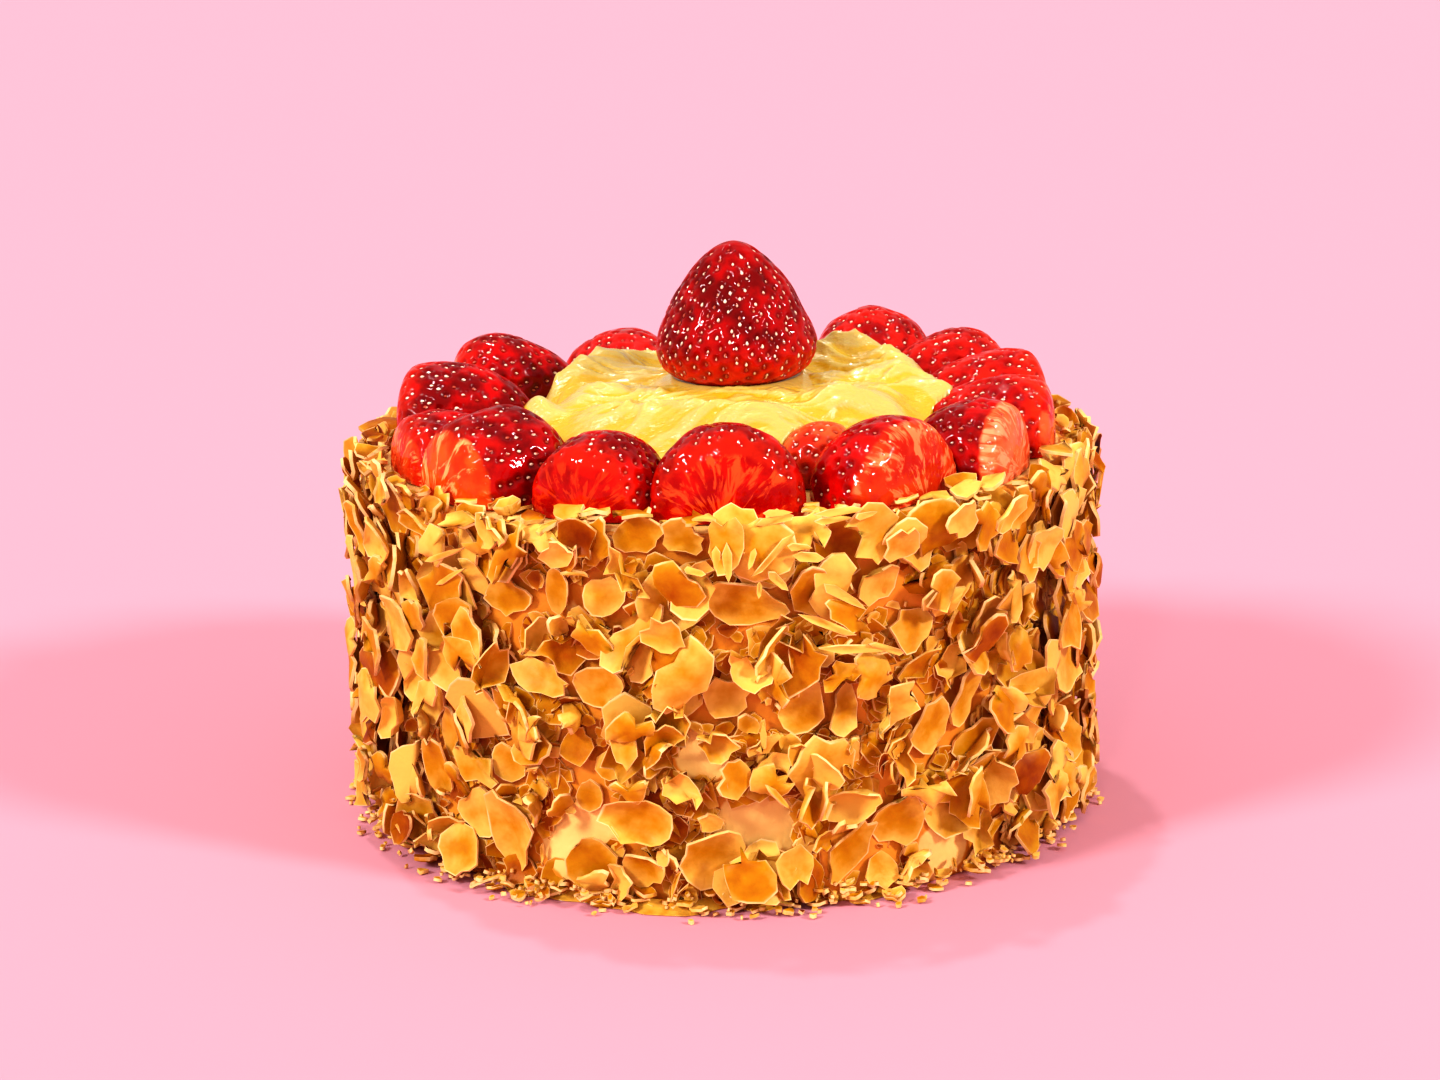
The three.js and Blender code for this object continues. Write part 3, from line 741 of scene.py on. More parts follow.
class WallRelief(Relief):
    """The cake's wall, unrolled. Its cream is soft, and over the rim there is only room outside the fruit."""

    LOWEST = -3 * MM
    ROWS = 84

    def __init__(self):
        self.columns = round(2 * math.pi * CAKE_RADIUS / self.CELL)
        super().__init__(self.columns, self.ROWS, -CREAM_SOFTNESS)
        heights = self.LOWEST + self.CELL * (np.arange(self.ROWS) + 0.5)
        self.reach[:, heights > CAKE_HEIGHT - RIM_ROUND] = -LEDGE_WIDTH
        bearings = 2 * math.pi * (np.arange(self.columns) + 0.5) / self.columns
        for spot in BARE_CREAM:
            away = off_on_wall(bearings[:, None], heights[None, :] / MM, spot)
            bare = away < BARE_SHARE * spot[2]
            self.roof[bare] = -2 * CREAM_SOFTNESS
            self.kept_clear[bare] = True

    def cells(self, points):
        bearing = np.arctan2(points[:, 1], points[:, 0]) / (2 * math.pi)
        column = np.floor(bearing * self.columns).astype(int) % self.columns
        row = np.clip(np.floor((points[:, 2] - self.LOWEST) / self.CELL).astype(int), 0, self.ROWS - 1)
        return (column, row), np.hypot(points[:, 0], points[:, 1]) - CAKE_RADIUS


class FlatRelief(Relief):
    """A level surface at some height, such as the floor round the cake or its top."""

    SPAN = 160

    def __init__(self, level=0.0, tilt=0.0):
        super().__init__(self.SPAN, self.SPAN)
        self.level, self.slope = level, math.tan(tilt)

    def cells(self, points):
        cell = np.floor(points[:, :2] / self.CELL).astype(int) + self.SPAN // 2
        cell = np.clip(cell, 0, self.SPAN - 1)
        return (cell[:, 0], cell[:, 1]), points[:, 2] - self.level - points[:, 0] * self.slope

    def centres(self):
        """The middle of each cell, in metres, as rows of x and y."""
        line = (np.arange(self.SPAN) - self.SPAN // 2 + 0.5) * self.CELL
        return np.stack(np.meshgrid(line, line, indexing="ij"), -1)


def disc_samples(steps=13):
    """Points spread over a unit disc."""
    line = np.linspace(-0.96, 0.96, steps)
    grid = np.stack(np.meshgrid(line, line), -1).reshape(-1, 2)
    return grid[np.hypot(grid[:, 0], grid[:, 1]) <= 1]


# Where a flake is sampled: over its unit disc, which of those samples are its core and its inner part, and
# round its edge
DISC = disc_samples()
CORE = np.hypot(DISC[:, 0], DISC[:, 1]) < 0.62
INNER = np.hypot(DISC[:, 0], DISC[:, 1]) < 0.8
EDGE = np.stack([np.cos(np.arange(24) * math.pi / 12), np.sin(np.arange(24) * math.pi / 12)], 1)
UNBROKEN = ((0.0, FAR_OFF),) * BREAKS


def turn_on_wall(bearing, pitch, yaw, spin):
    """Spun in its own plane, leaned, and set flat on the wall at a bearing."""
    s, c = math.sin(bearing), math.cos(bearing)
    wall = Matrix(((-s, 0, c), (c, 0, s), (0, 1, 0)))
    lean = Matrix.Rotation(pitch, 3, "X") @ Matrix.Rotation(yaw, 3, "Y")
    return wall @ lean @ Matrix.Rotation(spin, 3, "Z")


def wall_place(bearing, z):
    """Which way is outwards at a bearing, and the place on the wall at a height."""
    outward = outwards(bearing)
    return outward, outward * CAKE_RADIUS + np.array([0, 0, z])


def flake_points(flake, samples):
    """Points on a flake's middle surface, given over its unit disc. Each break cuts it off along a line."""
    along, across = samples[:, 0], samples[:, 1]
    x = flake["length"] / 2 * along * np.where(along > 0, flake["blunt"], 1)
    y = flake["width"] / 2 * across * (1 - flake["taper"] * along)
    for angle, reach in flake["breaks"]:
        over = np.maximum(0, x * math.cos(angle) + y * math.sin(angle) - reach)
        x = x - over * math.cos(angle)
        y = y - over * math.sin(angle)
    share = along ** 2 + across ** 2
    z = flake["length"] / 2 * (flake["cup"] * (2 * share - 1) + flake["twist"] * along * across)
    local = np.stack([x, y, z], 1) * MM
    return local @ np.array(flake["turn"]).T + flake["place"]


def large_flake(draw, kind, bearing, z):
    """One of the large flakes that the solids have too, by the same draws."""
    length = between(kind["length"], next(draw))
    width = length * between(kind["slim"], next(draw))
    spin = (next(draw) - 0.5) * math.pi
    steepest = math.asin(min(0.9, (kind["reach"] + FLAKE_GRIP) / length))
    pitch = steepest * between(kind["up"], next(draw))
    yaw = steepest * between(kind["side"], next(draw)) * math.sqrt(1 - (pitch / steepest) ** 2)
    blunt = 1 - BLUNTEST * next(draw)
    cup = between(FLAKE_CUP, next(draw))
    high = length / 2 * abs(math.sin(spin)) + width / 2 * abs(math.cos(spin))
    return dict(length=length, width=width, spin=spin, pitch=pitch, yaw=yaw, blunt=blunt, cup=cup,
                bearing=bearing, z=z, high=high, noted=False)


def noted_flakes():
    """The large flakes that stand out on the front, with their angles in radians."""
    flakes = []
    for bearing, z, length, width, spin, pitch, yaw, blunt, cup in NOTED_FLAKES:
        flakes.append(dict(
            length=length, width=width, spin=math.radians(spin), pitch=math.radians(pitch), z=z,
            yaw=math.radians(yaw), blunt=blunt, cup=cup, bearing=math.radians(bearing), noted=True))
    return flakes


def off_on_wall(bearing, z, spot):
    """How far a place on the wall is from a spot given as degrees and millimetres."""
    return np.hypot(2 * CAKE_RADIUS / MM * np.sin((bearing - math.radians(spot[0])) / 2), z - spot[1])


def on_bare_cream(bearing, z):
    """True for a place on the wall where the cream shows."""
    return any(off_on_wall(bearing, z, spot) < spot[2] for spot in BARE_CREAM)


def is_in_the_way(flake):
    """True where a scattered large flake would cover bare cream or one that stands out."""
    bearing, z = flake["bearing"], flake["z"]
    return on_bare_cream(bearing, z) or any(
        off_on_wall(bearing, z, spot) < NOTED_CLEARANCE for spot in NOTED_FLAKES)


def large_flakes():
    """All the large flakes of the solids, by the same draws in the same order."""
    draw = random_stream(FLAKE_SEED)
    height = CAKE_HEIGHT / MM
    flakes = []
    for row in range(COAT["rows"]):
        for i in range(COAT["per_row"]):
            bearing = 2 * math.pi * (i + (row % 2) / 2 + 0.5 * (next(draw) - 0.5)) / COAT["per_row"]
            z = height * (row + 0.5 + 0.5 * (next(draw) - 0.5)) / COAT["rows"]
            flakes.append(large_flake(draw, COAT, bearing, z))
    for i in range(RIM["count"]):
        bearing = 2 * math.pi * (i + 0.6 * (next(draw) - 0.5)) / RIM["count"]
        flake = large_flake(draw, RIM, bearing, 0)
        flake["z"] = height + between(RIM_PROUD, next(draw)) - flake["high"] * math.cos(flake["pitch"])
        flakes.append(flake)
    for i in range(FOOT["count"]):
        bearing = 2 * math.pi * (i + 0.6 * (next(draw) - 0.5)) / FOOT["count"]
        z = between(FOOT_LIFT, next(draw))
        flakes.append(large_flake(draw, FOOT, bearing, z))
    kept = noted_flakes() + [flake for flake in flakes if not is_in_the_way(flake)]
    return [flake for flake in kept if press_in(flake)]


def press_in(flake):
    """Lifts a large flake clear of the ground and presses it into the wall by its grip. False where it
    would then reach in over the top."""
    flake.update(taper=OVAL_TAPER, twist=0.0, breaks=UNBROKEN)
    flake["turn"] = turn_on_wall(flake["bearing"], flake["pitch"], flake["yaw"], flake["spin"])
    outward, flake["place"] = wall_place(flake["bearing"], flake["z"] * MM)
    corners = all_round(FLAKE_CORNERS)
    outline = np.stack([np.cos(corners), np.sin(corners)], 1)
    middle = flake_points(flake, np.vstack([[[0, 0]], outline]))
    normal = np.array(flake["turn"].col[2])
    points = np.vstack([middle + normal * side * FLAKE_THICKNESS / 2 * MM for side in (-1, 1)])
    lift = max(0, GROUND_CLEARANCE * MM - points[:, 2].min())
    points[:, 2] += lift
    over = points[:, 2] > CAKE_HEIGHT + points[:, 0] * math.tan(TOP_TILT) - RIM_ROUND
    radii = np.hypot(points[:, 0], points[:, 1])
    out = CAKE_RADIUS - FLAKE_GRIP * MM - radii[~over].min()
    if over.any() and radii[over].min() + out < RIM_CLEAR_RADIUS * MM:
        return False
    flake["place"] = flake["place"] + outward * out + np.array([0, 0, lift])
    return True


def snapped_pieces(draw, length, width, chances, least):
    """The lines along which a flake is snapped off: which way each one lies and how far out, at least the
    given share of the way to the flake's edge."""
    lines = []
    for chance in chances:
        angle = draw.uniform(0, 2 * math.pi)
        extent = math.hypot(length / 2 * math.cos(angle), width / 2 * math.sin(angle))
        reach = extent * draw.uniform(least, OUTERMOST_BREAK) if draw.random() < chance else FAR_OFF
        lines.append((angle, reach))
    return tuple(lines)


def both_ends(length):
    """The pointed ends snapped off, which leaves a stick."""
    return (0.0, 0.42 * length), (math.pi, 0.43 * length), (0.0, FAR_OFF)


def drawn_flake(draw, length, slim, cup, breaks, toast):
    """A flake drawn at random, with some pieces snapped off it."""
    size = draw.uniform(*length)
    width = size * draw.uniform(*slim)
    return dict(
        length=size,
        width=width,
        blunt=1 - BLUNTEST * draw.random(),
        taper=draw.uniform(*DRAWN_TAPER),
        cup=draw.uniform(*cup),
        twist=draw.normal(0, TWIST),
        breaks=snapped_pieces(draw, size, width, breaks, 0.15),
        toast=draw.normal(*toast),
    )


def drawn_flakes(draw, count, shape):
    """Flakes of one kind, one after another, each with the bearing where it is tried."""
    for _ in range(count):
        yield drawn_flake(draw, **shape), draw.uniform(0, 2 * math.pi)


def best_lie(relief, flake, poses, slack, may_cover, farthest, eager=False):
    """Tries a flake in a few poses and takes the one that lies closest, or with eager the first that fits.
    False where none fits."""
    best = None
    for turn, place, outward, press in poses:
        flake["turn"], flake["place"] = turn, place
        cells, off = relief.cells(flake_points(flake, DISC))
        lift = relief.lift_for(cells, off, press, slack, may_cover)
        if lift is None or np.max(off) + lift > farthest:
            continue
        if best is None or lift + np.mean(off) < best[0]:
            best = (lift + np.mean(off), turn, place + outward * lift, cells, off + lift)
        if eager:
            break
    if best is None:
        return False
    _, flake["turn"], flake["place"], cells, off = best
    if not clear_of_limits(flake):
        return False
    relief.add_lying(cells, off)
    return True


def wall_poses(draw, bearing, z, lean, steep_share, spin=None, press=0.35):
    """A few ways to lie on the wall: some flat, some steep and then pressed deeper into the cream, the long
    way more often upright."""
    outward, place = wall_place(bearing, z)
    steep = draw.random() < steep_share
    for _ in range(3):
        way = draw.normal(*UPRIGHT) if spin is None else spin
        pitch, yaw = draw.normal(0, lean, 2)
        if steep:
            pitch, yaw = draw.normal(*STEEP_PITCH), draw.choice([-1, 1]) * draw.uniform(*STEEP_YAW)
        yield turn_on_wall(bearing, pitch, yaw, way), place, outward, (STEEP_PRESS if steep else press) * MM


def lay_under(relief, draw, count, shape):
    """A first layer, pressed nearly flat in the cream and under the large flakes, and in from the ground and
    the rim."""
    above_foot, below_rim, deepest = 0.4, 0.35, 0.5
    for flake, bearing in drawn_flakes(draw, count, shape):
        z = draw.uniform(0.0, 0.99) * CAKE_HEIGHT / MM
        off = draw.uniform(-deepest, deepest) * MM
        if on_bare_cream(bearing, z):
            continue
        z = max(z, flake["length"] * above_foot) * MM
        z = min(z, CAKE_HEIGHT - flake["length"] * below_rim * MM)
        turn, place, outward, _ = next(wall_poses(draw, bearing, z, lean=0.1, steep_share=0))
        flake["turn"], flake["place"] = turn, place + outward * off
        cells, off = relief.cells(flake_points(flake, DISC))
        sunk = np.min(relief.roof[cells] - off - HALF_FLAKE)
        if sunk < 0:
            flake["place"] = flake["place"] + outward * sunk
        if sunk > -DEEPEST_BED and clear_of_limits(flake):
            cells, off = relief.cells(flake_points(flake, DISC))
            relief.add_lying(cells, off)
            yield flake


def lay_on_wall(relief, draw, count, shape, lean=0.3, steep_share=0.1, cover=0.3, farthest=7.0):
    """Presses flakes of one kind on the wall, one after another."""
    for flake, bearing in drawn_flakes(draw, count, shape):
        z = draw.uniform(0.02, 1.02) * CAKE_HEIGHT / MM
        may_cover = draw.random() < cover
        if on_bare_cream(bearing, z):
            continue
        z = max(z, flake["length"] * 0.3) * MM
        poses = wall_poses(draw, bearing, z, lean, steep_share)
        eager = draw.random() < EAGER
        if best_lie(relief, flake, poses, FLAKE_SLACK, may_cover, farthest * MM, eager):
            yield flake


def lay_over_rim(relief, draw, count, shape, cover=0.4):
    """Flakes on the rim. Some stand up in front of the berries, the others lean in to their feet."""
    for flake, bearing in drawn_flakes(draw, count, shape):
        lean, heights = RIM_LEANS[draw.random() < LEANS_IN]
        z = CAKE_HEIGHT + CAKE_RADIUS * math.cos(bearing) * math.tan(TOP_TILT)
        outward, place = wall_place(bearing, z + draw.uniform(*heights) * MM)
        poses = []
        for _ in range(4):
            pitch = draw.normal(*lean)
            turn = turn_on_wall(bearing, pitch, draw.normal(0, 0.3), draw.uniform(0, 2 * math.pi))
            poses.append((turn, place, outward, 0.5 * MM))
        may_cover = draw.random() < cover
        if best_lie(relief, flake, poses, FLAKE_SLACK, may_cover, farthest=7 * MM, eager=True):
            yield flake


def lay_shown(relief, draw):
    """The flakes that stand out, besides those that the solids have."""
    for bearing, z, length, width, spin, pitch, yaw, toast in SHOWN_FLAKES:
        flake = drawn_flake(draw, **WHOLE)
        flake.update(length=length, width=width, breaks=UNBROKEN, toast=toast, cup=0.06)
        outward, place = wall_place(math.radians(bearing), z * MM)
        turn = turn_on_wall(*(math.radians(angle) for angle in (bearing, pitch, yaw, spin)))
        poses = [(turn, place, outward, 1.5 * MM)]
        if best_lie(relief, flake, poses, slack=9 * MM, may_cover=True, farthest=10.5 * MM):
            yield flake


def lay_slivers(relief, draw):
    """The slivers that stand out, on top of what lies there."""
    for bearing, z, length, width, spin in SLIVERS:
        flake = drawn_flake(draw, **SLIVER)
        length *= SLIVER_GROWTH
        flake.update(length=length, width=width, breaks=both_ends(length), toast=draw.uniform(0, 0.15))
        poses = wall_poses(
            draw, math.radians(bearing), z * MM, lean=0.15, steep_share=0, spin=math.radians(spin), press=0.8)
        if best_lie(relief, flake, poses, slack=9 * MM, may_cover=True, farthest=10 * MM):
            yield flake


def raise_off_ground(flake):
    """Lifts a flake until its lowest edge is on the ground or above it."""
    points = flake_points(flake, EDGE)
    lowest = points[:, 2].min() - HALF_FLAKE - RUFFLE * flake["length"] * MM
    if lowest < 0:
        flake["place"] = flake["place"] - np.array([0, 0, lowest])


def clear_of_limits(flake):
    """Lifts a flake off the ground. True where it stays low enough over the rim and clear of the fruit."""
    raise_off_ground(flake)
    points = flake_points(flake, DISC)
    off_top = points[:, 2] - CAKE_HEIGHT - points[:, 0] * math.tan(TOP_TILT)
    return off_top.max() < HIGHEST_OVER_RIM * MM and not inside_fruit(points[off_top > 0])


def inside_fruit(points):
    """True where any of the points is in a berry or too close to one."""
    if not len(points):
        return False
    return any(berry.inside(off_the_top(points), FRUIT_CLEARANCE).any() for berry in RING)


def off_the_top(points):
    """The inverse of on_the_top."""
    c, s = math.cos(TOP_TILT), math.sin(TOP_TILT)
    x, y, z = (points - np.array([0, 0, CAKE_HEIGHT])).T / MM
    return np.stack([c * x + s * z, y, c * z - s * x], 1)


def lay_on_flat(relief, draw, count, shape, band, farthest, tilt=0.25, press=0.15, cover=0.0):
    """Drops pieces on a level surface at distances out from the middle drawn within a band."""
    up = np.array([0, 0, 1.0])
    for flake, bearing in drawn_flakes(draw, count, shape):
        out = between(band, min(1, abs(draw.normal(0, 0.45)))) * MM
        place = out * outwards(bearing) + np.array([0, 0, relief.level])
        poses = []
        for _ in range(3):
            turn = Euler((*draw.normal(0, tilt, 2), draw.uniform(0, 2 * math.pi))).to_matrix()
            poses.append((turn, place, up, press * MM))
        may_cover = draw.random() < cover
        if best_lie(relief, flake, poses, 0.2 * MM, may_cover, farthest * MM):
            raise_off_ground(flake)
            yield flake


def ledge_relief(standing):
    """The top of the cake near its rim, taken up by the berries and by the flakes that stand over it."""
    relief = FlatRelief(CAKE_HEIGHT, TOP_TILT)
    centres = relief.centres()
    radii = np.hypot(centres[..., 0], centres[..., 1])
    relief.reach[radii > CAKE_RADIUS - 1 * MM] = -2.5 * MM
    flat = centres.reshape(-1, 2) / MM
    for height in (1.0, 3.0):
        spots = np.column_stack([flat, np.full(len(flat), height)])
        for berry in RING:
            taken = berry.inside(spots, 0.4).reshape(radii.shape)
            relief.reach[taken] = OUT_OF_REACH
    for flake in standing:
        points = flake_points(flake, DISC)
        if points[:, 2].max() > CAKE_HEIGHT - 3 * MM:
            cells, off = relief.cells(points)
            np.maximum.at(relief.reach, cells, off)
    return relief


def slice_template(corners, rings):
    """A flat slice on a unit disc, its two faces and its edge. Its own coordinates are kept on it."""
    rows = []
    for side in (1, -1):
        for ring in range(rings + 1):
            radius = math.sqrt(ring / rings)
            for i in range(corners if ring else 1):
                turn = 2 * math.pi * i / corners
                rows.append((radius * math.cos(turn), radius * math.sin(turn), side, radius, i))
    per_face = 1 + rings * corners
    faces, sharp = [], set()
    for face, start in ((1, 0), (-1, per_face)):
        for i in range(corners):
            k = (i + 1) % corners
            loops = [(start, start + 1 + i, start + 1 + k)]
            for ring in range(rings - 1):
                a, b = start + 1 + ring * corners, start + 1 + (ring + 1) * corners
                loops.append((a + i, b + i, b + k, a + k))
            faces += loops if face == 1 else [tuple(reversed(loop)) for loop in loops]
            outer = start + 1 + (rings - 1) * corners
            sharp.add(frozenset((outer + i, outer + k)))
    top, bottom = 1 + (rings - 1) * corners, per_face + 1 + (rings - 1) * corners
    for i in range(corners):
        k = (i + 1) % corners
        faces.append((top + i, bottom + i, bottom + k, top + k))
    mesh = mesh_of(f"slice_{corners}", [(row[0], row[1], row[2] * 0.1) for row in rows], faces)
    for name, values in zip(("along", "across", "side", "share", "corner"), zip(*rows)):
        store(mesh, name, values, "INT" if name == "corner" else "FLOAT")
    marks = [frozenset(edge.vertices) in sharp for edge in mesh.edges]
    mesh.attributes.new("sharp_edge", "BOOLEAN", "EDGE").data.foreach_set("value", marks)
    return bpy.data.objects.new(mesh.name, mesh)


def new_tree(name, output, **inputs):
    """A geometry node tree with an output and named inputs. Returned with the sockets of the inputs."""
    tree = bpy.data.node_groups.new(name, "GeometryNodeTree")
    for label, kind in inputs.items():
        tree.interface.new_socket(name=label, in_out="INPUT", socket_type=f"NodeSocket{kind}")
    tree.interface.new_socket(name=output, in_out="OUTPUT", socket_type="NodeSocketGeometry")
    return tree, add_node(tree, "NodeGroupInput").outputs


def spread_real(tree, points, shape, **inputs):
    """An object's shape at each point, as real mesh."""
    own = add_node(tree, "GeometryNodeObjectInfo", {"Object": shape})
    spread = add_node(tree, "GeometryNodeInstanceOnPoints", {
        "Points": points, "Instance": own.outputs["Geometry"], **inputs})
    real = add_node(tree, "GeometryNodeRealizeInstances", {"Geometry": spread.outputs["Instances"]})
    return real.outputs["Geometry"]


def give_finish(tree, output, geometry, finish):
    """Ends a tree: gives what it has made its finish and puts it out."""
    painted = add_node(tree, "GeometryNodeSetMaterial", {"Geometry": geometry, "Material": finish})
    add_node(tree, "NodeGroupOutput", {output: painted.outputs["Geometry"]})


def named(tree, name, kind="FLOAT"):
    """What a mesh keeps under a name."""
    node = add_node(tree, "GeometryNodeInputNamedAttribute", {"Name": name}, data_type=kind)
    return node.outputs["Attribute"]


def almond_tree():
    """Makes a slice of almond at each point: an oval with a blunt end, snapped, ragged, cupped and turned
    by the point's own numbers."""
    tree, given = new_tree(
        "Flaked almonds", "Almonds", Points="Geometry", Slice="Object", Thickness="Float",
        Raggedness="Float", Seed="Int", Finish="Material")
    real = spread_real(tree, given["Points"], given["Slice"])

    def number(name, kind="FLOAT"):
        return Field(tree, named(tree, name, kind))

    def drawn(key):
        node = add_node(tree, "FunctionNodeRandomValue", {"ID": key, "Seed": given["Seed"]})
        return Field(tree, node.outputs[1])

    along, across, share = number("along"), number("across"), number("share")
    chip = drawn(number("key", "INT") * 64 + number("corner", "INT"))
    own = drawn(number("key", "INT"))
    # Nicks in the border: waves round it and a chip at each corner
    round_it = across.maths("ARCTAN2", along)
    wave = 0.0
    for turns, height in ((2, 0.4), (3, 0.35), (5, 0.25)):
        wave = (round_it * turns + own * (11 * turns)).maths("SINE") * height + wave
    ragged = Field(tree, given["Raggedness"]) * share
    trim = 1 - ragged * ((wave + 1) * 0.36 + chip * chip * chip * 0.9)
    # The outline, blunt at one end and cut off along each break
    length, width = number("length"), number("width")
    blunted = 1 - (1 - number("blunt")) * (along > 0)
    x = length * 0.5 * along * blunted * trim
    y = width * 0.5 * across * (1 - along * number("taper")) * trim
    for i in range(BREAKS):
        angle = number(f"break_{i}")
        way_x, way_y = angle.maths("COSINE"), angle.maths("SINE")
        uneven = length * ragged * (chip - 0.5) * 0.8
        over = (x * way_x + y * way_y - number(f"reach_{i}") - uneven).maths("MAXIMUM", 0.0)
        x = x - over * way_x
        y = y - over * way_y
    # Cupped, twisted and ruffled, and thicker or thinner than the others
    bowl = number("cup") * (share * share * 2 - 1) + number("twist") * along * across
    thick = Field(tree, given["Thickness"]) * (own.maths("FRACT") * 0.5 + 0.75)
    ruffle = (round_it * 3 + own * 29).maths("SINE") * 0.05 + (round_it * 5 + own * 47).maths("SINE") * 0.03
    z = number("side") * thick * 0.5 + length * 0.5 * (bowl + ruffle * share * share)
    local = add_node(tree, "ShaderNodeCombineXYZ", {"X": x, "Y": y, "Z": z})
    turned = add_node(
        tree, "ShaderNodeVectorRotate", rotation_type="EULER_XYZ",
        inputs={"Vector": local.outputs[0], "Rotation": named(tree, "turn", "FLOAT_VECTOR")})
    moved = add_node(tree, "ShaderNodeVectorMath", operation="ADD")
    feed(tree, moved.inputs[0], turned.outputs[0])
    feed(tree, moved.inputs[1], named(tree, "place", "FLOAT_VECTOR"))
    shaped = add_node(tree, "GeometryNodeSetPosition", {"Geometry": real, "Position": moved.outputs[0]})
    give_finish(tree, "Almonds", shaped.outputs["Geometry"], given["Finish"])
    return tree


def apply_tree(piece, tree, **inputs):
    """Runs a tree on a piece and keeps the result as a plain mesh."""
    modifier = piece.modifiers.new(tree.name, "NODES")
    modifier.node_group = tree
    for item in tree.interface.items_tree:
        key = item.name.lower().replace(" ", "_")
        if item.in_out == "INPUT" and key in inputs:
            modifier[item.identifier] = inputs[key]
    graph = bpy.context.evaluated_depsgraph_get()
    made = bpy.data.meshes.new_from_object(piece.evaluated_get(graph))
    piece.modifiers.remove(modifier)
    piece.data = made
    made.name = piece.name


def almond_piece(name, flakes, tree, template, settings, ragged, finish):
    """A piece made of all the flakes of one kind, with each one's own numbers kept for the tree."""
    mesh = mesh_of(name, [flake["place"] for flake in flakes], [])
    for key in ("blunt", "cup", "taper", "twist", "toast"):
        store(mesh, key, [flake[key] for flake in flakes])
    for key in ("length", "width"):
        store(mesh, key, [flake[key] * MM for flake in flakes])
    for i in range(BREAKS):
        store(mesh, f"break_{i}", [flake["breaks"][i][0] for flake in flakes])
        store(mesh, f"reach_{i}", [flake["breaks"][i][1] * MM for flake in flakes])
    store(mesh, "key", range(len(flakes)), "INT")
    store(mesh, "place", [flake["place"] for flake in flakes], "FLOAT_VECTOR")
    store(mesh, "turn", [tuple(flake["turn"].to_euler("XYZ")) for flake in flakes], "FLOAT_VECTOR")
    piece = piece_of(name, mesh)
    apply_tree(
        piece, tree, slice=template, thickness=settings.thickness, raggedness=ragged,
        seed=FLAKE_SEED, finish=finish)
    finished(piece, None, ["cake"])


def almond_finish(settings):
    material, tree, shader = finish_of("toasted almond", Roughness=0.45, Specular_IOR_Level=0.15)
    share = attribute(tree, "share")
    along = attribute(tree, "along")
    blotch = noise(tree, 200, 3)
    toast = attribute(tree, "toast") + (blotch - 0.5) * 0.8 + 0.05
    # Painted glow of light through the thin flake: it is paler towards its border and its ends.
    toast = toast - share * share * 0.22 - along * along * 0.12
    face = colour_ramp(tree, (toast * 0.7).clamped(), [
        (0.0, settings.light),
        (0.27, settings.golden),
        (0.5, settings.deep),
        (0.7, linear(132, 54, 0)),
        (1.0, linear(56, 22, 18)),
    ])
    # The pale border is partly the slice's own edge and partly a painted highlight along it.
    brink = smooth_step(share + (blotch - 0.5) * 0.12, 0.93, 1.0)
    paint(tree, shader, brink * smooth_step(blotch, 0.25, 0.6) * 0.85, face, settings.edge)
    add_bump(tree, shader, noise(tree, 900, 3), 0.0003, 0.4)
    return material


def fix_large(wall, draw):
    """The large flakes that the solids have too, with broken edges, on the wall before all others."""
    large = large_flakes()
    for flake in large:
        flake["toast"] = draw.normal(0.3, 0.1 if flake["noted"] else 0.2)
        if not flake["noted"]:
            flake["length"] *= LARGE_GROWTH
            flake["width"] *= LARGE_GROWTH
        flake["breaks"] = snapped_pieces(
            draw, flake["length"], flake["width"], chances=(0.6, 0.3, 0), least=0.65)
        flake["place"] = flake["place"] + LARGE_EASE * outwards(flake["bearing"])
        raise_off_ground(flake)
        cells, off = wall.cells(flake_points(flake, DISC))
        wall.add_fixed(cells, off, flake["noted"])
    return large


